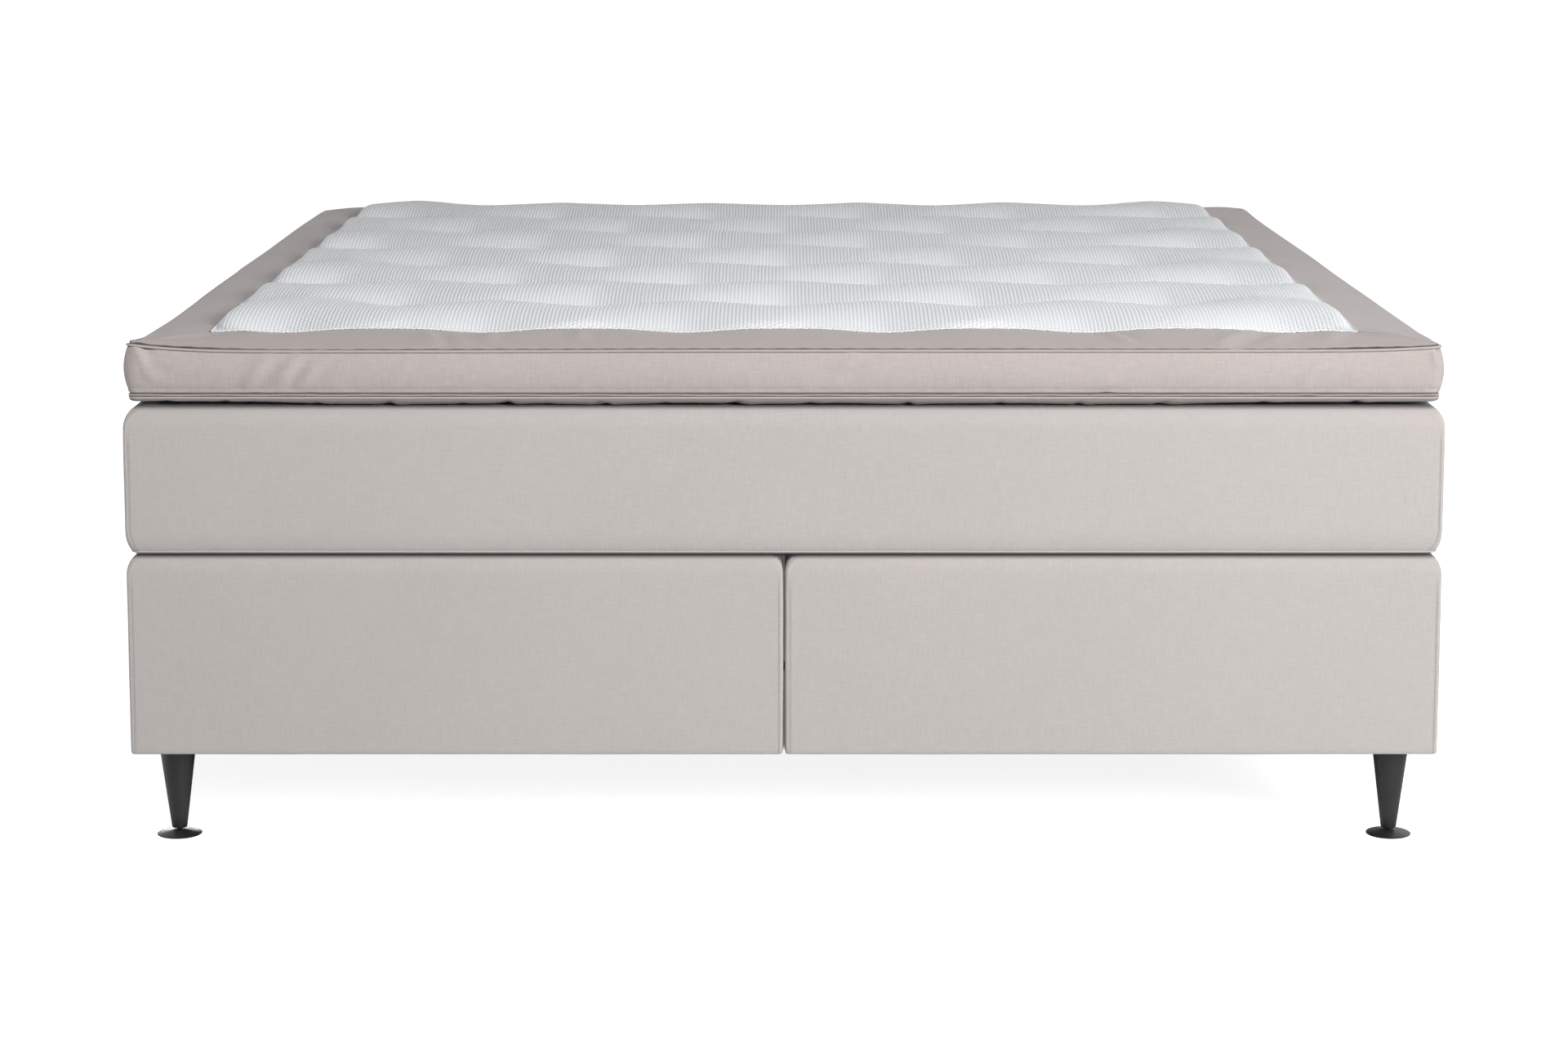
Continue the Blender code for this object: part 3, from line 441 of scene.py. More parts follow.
# %% [markdown]
# ## Plans, rings and skins
# Everything upholstered here is a rounded rectangle seen from above, drawn in or let out at each height. A
# Plan samples such a rectangle the same way at every size, so rings of different sizes join point to point
# into one clean skin of four-sided faces, with extra columns near the corners, where the seams are. The
# skin's map follows the cloth: u runs round the piece and v runs up it, both in metres.

# %% Plans
NEAR_CORNER = (0.0012, 0.003, 0.0045, 0.0055, 0.0065, 0.0078, 0.010, 0.014, 0.020)
QUARTER_TURN = math.pi / 2


def lengths_along(points):
    """How far along a line of points each one lies."""
    return np.concatenate([[0.0], np.cumsum(np.linalg.norm(np.diff(points, axis=0), axis=1))])


class Plan:
    """A rounded rectangle seen from above, sampled from the middle of the head end round by the left side."""

    def __init__(self, half_x, half_y, radius, spacing, corner_steps=8, near=NEAR_CORNER):
        self.half = (half_x, half_y)
        self.corner_steps = corner_steps
        self.shares = [self._side(2 * (half - radius), spacing, near) for half in self.half]
        flat = self.ring(half_x, half_y, radius)
        self.along = lengths_along(np.vstack([flat, flat[:1]]))

    @staticmethod
    def _side(length, spacing, near):
        """Places along one straight side, from -1 to 1, symmetric about its middle."""
        reach = length / 2
        inner = reach - near[-1]
        count = 2 * max(1, round(inner / spacing))
        even = [inner * (2 * k / count - 1) for k in range(count + 1)]
        fine = [reach - s for s in (0, *near[:-1])]
        return np.array([-s for s in fine] + even + fine[::-1]) / reach

    def ring(self, half_x, half_y, radius):
        """(x, y) of every point of the rectangle at this size."""
        points = []
        for turn in range(4):
            across, away = (half_x, half_y) if turn % 2 == 0 else (half_y, half_x)
            reach = across - radius
            side = [(-s * reach, away) for s in self.shares[turn % 2]]
            for k in range(1, self.corner_steps):
                a = k / self.corner_steps * QUARTER_TURN
                side.append((-reach - radius * math.sin(a), away - radius + radius * math.cos(a)))
            for _ in range(turn):
                side = [(-y, x) for x, y in side]
            points += side
        return np.roll(np.array(points), -(len(self.shares[0]) // 2), axis=0)

    def row(self, inset, z, radius):
        """One ring of a skin: the plan drawn in by inset, at height z."""
        flat = self.ring(self.half[0] - inset, self.half[1] - inset, radius)
        return np.column_stack([flat, np.full(len(flat), z)])

    def rows(self, profile):
        """The rings of a profile of (inset, z, radius) points, from the lowest up."""
        return np.array([self.row(*point) for point in profile])


def normals_of(rows):
    """Outward normals of a skin of rings, by differences between neighbours."""
    along = np.roll(rows, -1, axis=1) - np.roll(rows, 1, axis=1)
    found = np.cross(along, np.gradient(rows, axis=0))
    return found / np.maximum(np.linalg.norm(found, axis=2, keepdims=True), 1e-12)


def heights_up(rows):
    """How far up the cloth each ring lies, measured on the skin half way along the foot end."""
    return lengths_along(rows[:, rows.shape[1] // 2])


print("points near each corner:", len(NEAR_CORNER))

# %% [markdown]
# A Sewing collects faces and their places on the cloth, and makes one object of them. Its band method adds
# a skin of rings, and its lid method closes a square-cornered ring with a grid, so that no face has more
# than four sides. Each point also carries a mark of painted shade, set where it lies deep in a seam, a tuck
# or a gap, which the cloth finishes paint as darker colour.

# %% Skins
def smooth_noise(x, y, z, scale):
    """Blender's own noise at many places, from about -1 to 1."""
    x, y, z = np.broadcast_arrays(x, y, z)
    flat = np.column_stack([np.ravel(x), np.ravel(y), np.ravel(z)]) * scale
    return np.array([noise.noise(Vector(p)) for p in flat]).reshape(x.shape)


def near(values, centre, width):
    """A smooth bump of height 1 at centre, gone at about twice its width."""
    return np.exp(-((values - centre) / width) ** 2)


def ramp(values, low, high):
    """0 up to low, 1 from high on, and even in between. Where low is the larger, it falls instead."""
    return np.clip((values - low) / (high - low), 0, 1)


class Sewing:
    """Points, faces and cloth places of one piece."""

    def __init__(self):
        self.points, self.faces, self.places, self.deep = [], [], [], []

    def _add_points(self, points, deep):
        """Adds points and their marks of painted shade, and returns the number of the first."""
        start = sum(len(p) for p in self.points)
        self.points.append(points.reshape(-1, 3))
        self.deep.append(np.broadcast_to(deep, points.shape[:2]).ravel())
        return start

    def band(self, rows, along, up, deep=0.0):
        """Adds a skin through rings of points, from the lowest up, with a mark of painted shade for how deep
        in a seam each lies.
        """
        start = self._add_points(rows, deep)
        levels, count = rows.shape[:2]
        k = np.arange(count)
        for j in range(levels - 1):
            low = start + j * count
            after = (k + 1) % count
            self.faces.append(np.column_stack([low + k, low + after, low + count + after, low + count + k]))
            corners = ((k, j), (k + 1, j), (k + 1, j + 1), (k, j + 1))
            places = [np.column_stack([along[i], np.full(count, up[level])]) for i, level in corners]
            self.places.append(np.stack(places, axis=1))

    def lid(self, xs, ys, height, facing=1, deep=0.0):
        """Adds a grid between the places xs and ys at height, a number or an array, facing up or down."""
        x, y = np.meshgrid(xs, ys)
        rows = np.stack([x, y, np.broadcast_to(height, x.shape)], axis=2)
        start = self._add_points(rows, deep)
        count = len(xs)
        j, i = np.meshgrid(np.arange(len(ys) - 1), np.arange(count - 1), indexing="ij")
        corner = (j * count + i).ravel()
        quads = np.column_stack([corner, corner + 1, corner + count + 1, corner + count])[:, ::facing]
        self.faces.append(start + quads)
        self.places.append(rows.reshape(-1, 3)[:, :2][quads])

    def piece(self, name, material, merge=0.00002):
        """Makes the object, with its cloth map, its seams merged and its faces smooth."""
        mesh = bpy.data.meshes.new(name)
        mesh.from_pydata(np.concatenate(self.points).tolist(), [], np.concatenate(self.faces).tolist())
        chart = mesh.uv_layers.new(name=CLOTH_MAP)
        chart.data.foreach_set("uv", np.concatenate(self.places).astype(np.float32).ravel())
        # the painted shade of each point, kept on the mesh for the cloth finishes
        shade_mark = mesh.attributes.new(PAINTED_SHADE_MARK, "FLOAT", "POINT")
        shade_mark.data.foreach_set("value", np.clip(np.concatenate(self.deep), 0, 1).astype(np.float32))
        if merge:
            bm = bmesh.new()
            bm.from_mesh(mesh)
            bmesh.ops.remove_doubles(bm, verts=bm.verts, dist=merge)
            bm.to_mesh(mesh)
            bm.free()
        return placed(name, mesh, material)


def placed(name, mesh, material):
    """Puts a mesh in the scene under a name, with one finish."""
    mesh.name = name
    mesh.materials.clear()
    mesh.materials.append(material)
    mesh.shade_smooth()
    return link_new(name, mesh)


def belongs(piece, body, node=None):
    """Says what a piece rides on, and hides the CAD node it replaces, if any."""
    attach(piece, body)
    if node:
        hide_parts(node)
    return piece


print("noise at the origin:", round(float(smooth_noise(0.0, 0.0, 0.3, 1.0)), 3))

# %% [markdown]
# ## Stitches, staples and teeth
# A row of stitches is one short shape repeated along a line, and so are a row of staples and a row of zip
# teeth. One Geometry Nodes tree makes them all: it samples each line at an even pitch, puts a small bead on
# every sample, and turns it to run along the line. Its sizes are named inputs. The result is turned into a
# plain mesh, because the finished piece has to stand without the tree.

# %% The row tree
BEAD_SIDES = ("Length", "Width", "Height")


def new_tree(name, numbers):
    """A Geometry Nodes tree that takes a mesh, named numbers and a finish, and the wires of all of those."""
    tree = bpy.data.node_groups.new(name, "GeometryNodeTree")
    inputs = [("Geometry", "Geometry"), *((label, "Float") for label in numbers), ("Finish", "Material")]
    for label, kind in inputs:
        tree.interface.new_socket(label, in_out="INPUT", socket_type="NodeSocket" + kind)
    tree.interface.new_socket("Geometry", in_out="OUTPUT", socket_type="NodeSocketGeometry")
    source = tree.nodes.new("NodeGroupInput")
    rule = Nodes(tree)
    return rule, [Wire(rule, out) for out in source.outputs[:len(inputs)]]


def copies_on(rule, sockets, finish):
    """Ends a tree: a copy of one shape on every point, made real and painted."""
    copies = rule.node("GeometryNodeInstanceOnPoints", {}, sockets)
    solid = rule.node("GeometryNodeRealizeInstances", {}, {0: copies})
    painted = rule.node("GeometryNodeSetMaterial", {}, {"Geometry": solid, "Material": finish})
    rule.feed(rule.tree.nodes.new("NodeGroupOutput").inputs[0], painted)
    return rule.tree


def row_tree():
    """Repeats a bead along the edges of a mesh, at a pitch. The bead has a length, a width and a height."""
    rule, wires = new_tree("bead_row", ("Pitch", *BEAD_SIDES))
    lines, pitch, length, width, height, finish = wires
    curve = rule.node("GeometryNodeMeshToCurve", {}, {0: lines})
    spread = rule.tree.nodes.new("GeometryNodeCurveToPoints")
    spread.mode = "LENGTH"
    rule.feed(spread.inputs["Curve"], curve)
    rule.feed(spread.inputs["Length"], pitch)
    bead = rule.node("GeometryNodeMeshIcoSphere", {}, {"Radius": 0.5, "Subdivisions": 1})
    places, ahead = (Wire(rule, out) for out in spread.outputs[:2])
    aligned = rule.node("FunctionNodeAlignRotationToVector", {"axis": "X"}, {"Vector": ahead})
    return copies_on(rule, {"Points": places, "Instance": bead, "Rotation": aligned,
                            "Scale": rule.join(length, width, height)}, finish)


def grown(name, points, edges, tree, values, material):
    """Runs a tree on points and edges, and returns the result as a plain piece."""
    start = bpy.data.meshes.new(name)
    start.from_pydata(points, edges, [])
    seed = link_new(name + "_seed", start)
    run = seed.modifiers.new("grow", "NODES")
    run.node_group = tree
    ids = {item.name: item.identifier for item in tree.interface.items_tree if item.in_out == "INPUT"}
    for label, value in {**values, "Finish": material}.items():
        run[ids[label]] = value
    depsgraph = bpy.context.evaluated_depsgraph_get()
    mesh = bpy.data.meshes.new_from_object(seed.evaluated_get(depsgraph))
    seed.modifiers.remove(run)
    bpy.data.objects.remove(seed)
    return placed(name, mesh, material)


ROWS = row_tree()
STITCH = (0.0027, 0.0007, 0.0007)
STITCH_PITCH = 0.0036


def bead_rows(name, lines, pitch, size, material):
    """Beads of size (length, width, height) along each line of points."""
    points, edges = [], []
    for line in lines:
        first = len(points)
        points += [tuple(p) for p in line]
        edges += [(k, k + 1) for k in range(first, len(points) - 1)]
    values = {"Pitch": pitch, **dict(zip(BEAD_SIDES, size))}
    return grown(name, points, edges, ROWS, values, material)


def line_up(rows, along, u, first, last):
    """The line of points up a skin at the place u round it."""
    k = int(np.searchsorted(along, u)) - 1
    share = (u - along[k]) / (along[k + 1] - along[k])
    return (rows[:, k] * (1 - share) + rows[:, (k + 1) % rows.shape[1]] * share)[first:last]


print("the row tree has", len(ROWS.nodes), "nodes")

# %% [markdown]
# ## The two bases
# A base is a timber box in a fabric cover. The cover is pulled over a soft pad on top, so its upper edge is
# rolled, and down over the rails, where it is folded under and stapled. Its upright corners are sewn, and
# the seam is stitched down 6 mm from the corner. Where the bases stand side by side their covers press flat
# against each other. Such a cover is bonded to its wadding and stays flat, so its wall moves by a
# millimetre or less, without a cloth simulation.

# %% Base covers
BASE_X = 0.45075
BASE_HALF = (0.44925, 1.0)
CORNER = 0.0045
BASE_TOP = 0.405
BASE_ROLL = (0.016, 0.025)
BASE_LID = 0.0365  # how far in from its walls the flat top of a base starts
SEAM_FROM_CORNER = 0.0062
MEETING = 0.00015  # from the middle of the bed to the cover of each base, where the two covers touch
HEM = ((0.029, 0.1268), (0.012, 0.1265), (0.0042, 0.1264), (0.0012, 0.1272), (0.0002, 0.1292))


def quarter(depth, height, level, upward, steps):
    """(inset, z) of a rolled edge, from the upright wall to the flat face."""
    turns = [k / steps * QUARTER_TURN for k in range(steps + 1)]
    return [(depth * (1 - math.cos(a)), level + upward * height * math.sin(a)) for a in turns]


def upright(low, high, count, roll, roll_steps):
    """(inset, z, radius) up an upright wall with a rolled edge on top of it."""
    points = [(0.0, z, CORNER) for z in np.linspace(low, high - 0.012, count)]
    return points + [(i, z, CORNER + i) for i, z in quarter(*roll, high, 1, roll_steps)]


def corner_places(plan):
    """The place along a plan's ring of the middle of each upright corner."""
    arc = CORNER * QUARTER_TURN
    short, long = plan.half[0] - CORNER, plan.half[1] - CORNER
    gaps = [short + arc / 2, 2 * long + arc, 2 * short + arc, 2 * long + arc]
    return np.cumsum(gaps).tolist()


def seam_places(plan):
    """The places of the stitched seams, one on each side of each upright corner."""
    reach = CORNER * math.pi / 4 + SEAM_FROM_CORNER - CORNER
    return [c + s * reach for c in corner_places(plan) for s in (-1, 1)]


def wall_dents(plan, u, rows, low, high):
    """How far a cover's wall stands out: sunk along its seams, and very slightly uneven everywhere."""
    x, y, z = np.moveaxis(rows, 2, 0)
    sunk = sum(near(u, seam, 0.0011) for seam in seam_places(plan)) * 0.0011
    puffed = sum(near(u, c, 0.0045) for c in corner_places(plan)) * 0.0004
    uneven = smooth_noise(x, y, z, 5.0) * 0.0007 + smooth_noise(x, y, z + 3.1, 16.0) * 0.0003
    fade = ramp(z, low, low + 0.006) * ramp(z, high, high - 0.02)
    return (puffed - sunk) * fade + uneven * ramp(z, high + 0.02, high - 0.01)


def touch_shade(z, level, reach, depth):
    """Painted shade for cloth that lies in the narrow gap where two pieces touch at a level."""
    return depth * np.clip(1.3 - np.abs(z - level) / reach, 0, 1)


def pressed_together(rows, wall_top):
    """Where the two bases touch, their covers press flat on each other, so no light shows between them. The
    walls in the gap also get painted shade.
    """
    x, y, z = np.moveaxis(rows, 2, 0)
    away = BASE_HALF[1] - np.abs(y)
    inward = ramp(away, 0.010, 0.032)
    inward = inward * inward * (3 - 2 * inward) * (np.abs(x) < 0.019) * (z > 0.129)
    inward[-1] = 0
    flat = MEETING + (np.abs(x) - MEETING) * 0.04 * (z > wall_top)
    moved = rows.copy()
    moved[:, :, 0] = x + inward * (np.copysign(flat, x) - x)
    # the second value is painted shade on the cover's walls in the gap between the bases
    return moved, 0.9 * np.clip(1 - np.abs(away - 0.018) / 0.030, 0, 1) * (inward > 0.02)


def upholstered(name, body, node, half, spacing, profile, still, seam_rings, wall, contact_shades, x=0.0):
    """A sewn cover and the stitches beside its upright corners. still are the rings that keep their place.
    The cloth gets painted shade along its seams, in the gap between the bases and where it touches other
    pieces.
    """
    plan = Plan(*half, CORNER, spacing)
    lid = profile[-1][0]
    rows = plan.rows(profile)
    up = heights_up(rows)
    u = np.broadcast_to(plan.along[:-1], rows.shape[:2])
    dents = wall_dents(plan, u, rows, *wall)
    dents[still] = 0
    rows = rows + normals_of(rows) * dents[:, :, None] + np.array([x, 0, 0])
    gap_shade = 0
    if x:
        rows, gap_shade = pressed_together(rows, wall[1])
    z = rows[:, :, 2]
    seams = seam_places(plan)
    # painted shade: darker along the stitched seams, on the walls in the gap between the bases and where the
    # cover touches another piece
    shade_marks = sum(near(u, seam, 0.0012) for seam in seams) * 0.35 * ramp(z, wall[1], wall[1] - 0.02)
    shade_marks = np.maximum.reduce([shade_marks, gap_shade + 0 * z, *(touch_shade(z, *touch) for touch in contact_shades)])
    shade_marks[-1] = 0
    sewing = Sewing()
    sewing.band(rows, plan.along, up, shade_marks)
    sewing.lid(plan.shares[0] * (half[0] - lid) + x, plan.shares[1] * (half[1] - lid), profile[-1][1])
    cover = belongs(sewing.piece(name, cover_cloth), body, node)
    lines = [line_up(rows, plan.along, seam, *seam_rings) for seam in seams]
    stitches = bead_rows(body + "_stitches", lines, STITCH_PITCH, STITCH, greige_thread)
    belongs(stitches, body)
    print(name, len(cover.data.polygons), "faces")
    return plan


for side, x in (("left", -BASE_X), ("right", BASE_X)):
    wall_top = BASE_TOP - BASE_ROLL[1]
    profile = [(i, z, CORNER) for i, z in HEM] + upright(0.134, wall_top, 13, BASE_ROLL, 7)
    profile.append((BASE_LID, BASE_TOP, 0.0))
    upholstered(side + "_base_cover", side + "_base", side + "_cover", BASE_HALF, 0.022, profile,
                still=[0, 1, 2, -1], seam_rings=(5, 22), wall=(0.131, wall_top),
                # painted shade where the base meets the mattress
                contact_shades=[(BASE_TOP, 0.0038, 0.9)], x=x)

# %% [markdown]
# ## The mattress
# The mattress is covered in the same cloth. Its border is sewn to the top panel inside a fat rolled edge,
# and at the bottom it is drawn in over a soft foam edge, with a thin welt where the border ends. The welt
# is a tube carried round the same plan.

# %% Mattress cover
MATTRESS_HALF = (0.9, 1.0)
MATTRESS_BOTTOM = 0.4053
MATTRESS_TOP = 0.6103
MATTRESS_TOP_ROLL = (0.020, 0.028)
MATTRESS_LOW_ROLL = (0.013, 0.036)
MATTRESS_LID = 0.0445
WELT_RADIUS = 0.0017
WELT_INSET = 0.0068


def tube(name, path, radius, material, sides=8):
    """A closed tube round a level path of points that goes once round the bed."""
    ahead = np.roll(path, -1, axis=0) - np.roll(path, 1, axis=0)
    ahead /= np.maximum(np.linalg.norm(ahead, axis=1, keepdims=True), 1e-12)
    out = np.cross(ahead, (0, 0, 1))
    out /= np.maximum(np.linalg.norm(out, axis=1, keepdims=True), 1e-12)
    rise = np.cross(out, ahead)
    turns = [k / sides * FULL_TURN for k in range(sides + 1)]
    rows = np.array([path + radius * (out * math.cos(a) + rise * math.sin(a)) for a in turns])
    sewing = Sewing()
    sewing.band(rows, lengths_along(np.vstack([path, path[:1]])), np.array(turns) * radius)
    return sewing.piece(name, material, merge=0.000001)


low_top, wall_top = MATTRESS_BOTTOM + MATTRESS_LOW_ROLL[1], MATTRESS_TOP - MATTRESS_TOP_ROLL[1]
profile = [(i, z, CORNER + i) for i, z in quarter(*MATTRESS_LOW_ROLL, low_top, -1, 7)[::-1]]
profile = [(0.0215, MATTRESS_BOTTOM, 0.013), *profile,
           *upright(low_top + 0.012, wall_top, 9, MATTRESS_TOP_ROLL, 8), (MATTRESS_LID, MATTRESS_TOP, 0.0)]
mattress_plan = upholstered(
    "mattress_cover_cloth", "mattress", "mattress_cover", MATTRESS_HALF, 0.024, profile,
    still=[0, 1, -1], seam_rings=(4, 24), wall=(0.42, wall_top),
    # painted shade where the mattress sits on the bases and where the topper sits on it
    contact_shades=[(MATTRESS_BOTTOM, 0.0055, 1.0), (MATTRESS_TOP, 0.0028, 0.75)])
welt_path = mattress_plan.row(WELT_INSET, MATTRESS_BOTTOM + 0.0050, CORNER + WELT_INSET)
welt = belongs(tube("mattress_welt", welt_path, WELT_RADIUS, cover_cloth), "mattress")
print(welt.name, len(welt.data.polygons), "faces")

# %% [markdown]
# ## The topper's cover
# The topper's cover is sewn from five strips: a bottom panel, a zip, a side band, a border on top, and the
# quilted panel inside the border. At the corners the upper seam is pulled up into a small ear, because four
# layers meet there. Everything above the zip follows the same seam line, so its height is worked out once,
# in one function.

# %% The topper's levels and its upper seam
TOPPER_HALF = (0.9, 1.0)
TOPPER_CORNER = 0.020
TOPPER_BOTTOM = 0.6106
PAN_HEIGHT = 0.0112
ZIP_BOTTOM = 0.6221
ZIP_TOP = 0.6311
ZIP_MIDDLE = 0.6266
BAND_BOTTOM = 0.6314
BAND_TOP = 0.6849
BAND_BULGE = 0.006
SEAM_Z = 0.6872
BORDER_WIDTH = 0.105
QUILT_HALF = (0.7947, 0.8947)
QUILT_EDGE_Z = 0.7052
TUFT_SPACING = 0.278
EARS = {(-1, -1): 0.0105, (1, -1): 0.0065, (-1, 1): 0.0, (1, 1): 0.003}
EAR_REACH = 0.070

topper_plan = Plan(*TOPPER_HALF, TOPPER_CORNER, 0.009)


def seam_lift(x, y):
    """How far the upper seam stands above its level: pulled up at the corners, a little uneven elsewhere."""
    lift = 0.0016 * smooth_noise(x, y, 5.0, 2.2) - 0.0045 * near(y, -0.62, 0.22) * ramp(x, -0.65, -0.90)
    for (sx, sy), height in EARS.items():
        distance = np.hypot(x - sx * TOPPER_HALF[0], y - sy * TOPPER_HALF[1])
        lift = lift + height * np.exp(-(distance / EAR_REACH) ** 1.2)
    return lift


def edge_dip(x, y):
    """How far the quilt's seam is drawn down: by tufts at both ends, and by every other row at its sides."""
    at_end = (0.5 + 0.5 * np.cos(FULL_TURN * (x / TUFT_SPACING + 0.5))) ** 2
    at_side = (0.5 + 0.5 * np.cos(FULL_TURN * (y + QUILT_HALF[1]) / (2 * QUILT_HALF[1] / 3.5))) ** 3
    return (0.0056 * at_end * near(np.abs(y), QUILT_HALF[1], 0.03)
            + 0.0045 * at_side * near(np.abs(x), QUILT_HALF[0], 0.03))


def topper_row(inset, z):
    return topper_plan.row(inset, z, max(TOPPER_CORNER - inset, 0.0))


def topper_skin(name, node, profile, shape, lid_at=None):
    """A band of the topper from (inset, z, painted shade) points, which shape(rows, u) moves before it is
    sewn and may mark with more painted shade.
    """
    rows = np.array([topper_row(inset, z) for inset, z, _ in profile])
    shade_marks = np.array([[shade_mark] for *_, shade_mark in profile])
    up = heights_up(rows)
    rows, more_shade = shape(rows, np.broadcast_to(topper_plan.along[:-1], rows.shape[:2]))
    sewing = Sewing()
    sewing.band(rows, topper_plan.along, up, np.maximum(shade_marks, more_shade))
    if lid_at is not None:
        xs, ys = (s * (half - profile[0][0]) for s, half in zip(topper_plan.shares, TOPPER_HALF))
        sewing.lid(xs, ys, lid_at, facing=-1)
    made = belongs(sewing.piece(name, topper_cloth), "topper", node)
    print(name, len(made.data.polygons), "faces")
    return rows


def place_at(x, y):
    """The place along the topper's ring that is nearest to (x, y)."""
    flat = topper_row(0.0, 0.0)[:, :2]
    return topper_plan.along[int(np.argmin(np.hypot(flat[:, 0] - x, flat[:, 1] - y)))]


def fold(u, z, start, end, width, rise):
    """A soft fold of cloth from start to end, both (place along, height), gone at its ends."""
    du, dz = end[0] - start[0], end[1] - start[1]
    length = math.hypot(du, dz)
    share = ((u - start[0]) * du + (z - start[1]) * dz) / length ** 2
    away = ((u - start[0]) * -dz + (z - start[1]) * du) / length
    ends = np.clip(np.sin(np.clip(share, 0, 1) * math.pi), 0, 1) ** 0.8
    return rise * ends * (near(away, 0, width) - 0.7 * near(away, 1.7 * width, width))


FRONT = place_at(0, -1)
print("front middle of the topper lies", round(float(FRONT), 3), "along its ring")

# %% [markdown]
# The band is fullest at half its height. Cloth that is pulled along a seam creases across it, so the band
# has soft folds: on the front where the picture shows them, and here and there on the other sides.

# %% Side band
FRONT_FOLDS = (  # x and height of both ends, width, rise
    ((-0.695, 0.684), (-0.735, 0.636), 0.0070, 0.0046),
    ((-0.655, 0.686), (-0.690, 0.640), 0.0065, 0.0050),
    ((-0.625, 0.680), (-0.662, 0.634), 0.0070, 0.0034),
    ((0.880, 0.686), (0.893, 0.656), 0.0060, 0.0036),
    ((-0.886, 0.690), (-0.862, 0.660), 0.0070, 0.0034),
    ((0.700, 0.634), (0.716, 0.655), 0.0060, 0.0030),
    ((0.105, 0.684), (0.066, 0.662), 0.0075, 0.0024),
    ((0.452, 0.652), (0.420, 0.634), 0.0065, 0.0024),
    ((0.738, 0.672), (0.690, 0.645), 0.0060, 0.0026),
    ((0.792, 0.668), (0.748, 0.640), 0.0060, 0.0022),
    ((-0.874, 0.662), (-0.838, 0.640), 0.0060, 0.0024),
    ((-0.505, 0.684), (-0.520, 0.656), 0.0060, 0.0022),
)
FRONT_REACH = 0.95  # how far from its middle the front has the listed folds
FAR_FOLDS = 26


def band_shape(rows, u):
    x, y, z = np.moveaxis(rows, 2, 0)
    share = ramp(z, BAND_BOTTOM, BAND_TOP)
    out = smooth_noise(x, y, z, 3.2) * 0.0018 + smooth_noise(x, y, z * 2 + 4.0, 11.0) * 0.0010
    out = out * np.sin(share * math.pi) ** 0.6
    pucker = np.sin(u * (FULL_TURN / 0.034) + 3 * np.sin(u * 9.0)) * 0.0006
    out = out + pucker * np.exp(-np.maximum(share - 0.05, 0) / 0.16) * (share > 0.05)
    for start, end, width, rise in FRONT_FOLDS:
        out = out + fold(u, z, (FRONT + start[0], start[1]), (FRONT + end[0], end[1]), width, rise)
    for k in range(FAR_FOLDS):  # the other three sides crease here and there too
        place = (k * 0.2871 + 0.11) % topper_plan.along[-1]
        if abs(place - FRONT) >= FRONT_REACH:
            end = (place + 0.03 * math.sin(k * 2.3), 0.640)
            out = out + fold(u, z, (place, 0.684), end, 0.006, 0.0013 + 0.0009 * math.sin(k * 1.7))
    moved = rows + normals_of(rows) * out[:, :, None]
    moved[:, :, 2] += seam_lift(x, y) * share
    return moved, 0 * u


def band_profile():
    """Up the band: its turned-in hem over the zip, the full face, and the edge sewn into the upper seam. The
    third value of each point is painted shade, dark in the hem and at the seam.
    """
    points = [(0.0100, BAND_BOTTOM - 0.0010, 1.0), (0.0076, BAND_BOTTOM - 0.0018, 0.9),
              (0.0063, BAND_BOTTOM - 0.0013, 0.15), (0.0059, BAND_BOTTOM - 0.0002, 0.0)]
    for share in (0.035, 0.055, 0.075, 0.12, 0.19, 0.28, 0.38, 0.48, 0.58, 0.68, 0.77, 0.85, 0.92, 0.97, 1.0):
        bulge = 4 * share * (1 - share)
        points.append((BAND_BULGE * (1 - bulge), BAND_BOTTOM + share * (BAND_TOP - BAND_BOTTOM), 0.0))
    # painted shade in the groove of the row of stitches
    points[6] = (points[6][0] + 0.0007, points[6][1], 0.25)  # the groove of the row of stitches
    return [*points, (0.0088, BAND_TOP + 0.0008, 0.3)]


band_rows = topper_skin("topper_band", "topper_side_band", band_profile(), band_shape)

# %% [markdown]
# The bottom panel comes up round the edge to the zip, where it ends in a lip like the hem above. It hangs a
# little loose, so its side is drawn into small tucks, and the corners are pulled up off the mattress. A
# tuck is a narrow groove that is deepest at the bottom and gone at the top. The tucks and the underside
# get painted shade.

# %% Bottom panel
TUCKS_ON_FRONT = (-0.840, -0.765, -0.640, -0.537, -0.431, -0.376, -0.326, -0.252, -0.161, -0.06,
                  0.04, 0.165, 0.29, 0.40, 0.52, 0.66, 0.78)
FAR_TUCKS = 67
CORNER_PULL = 0.0048
# painted shade on the bottom panel's underside
LIP_SHADE = 0.42  # how dark the underside is where it meets the mattress, and as much again at its lowest


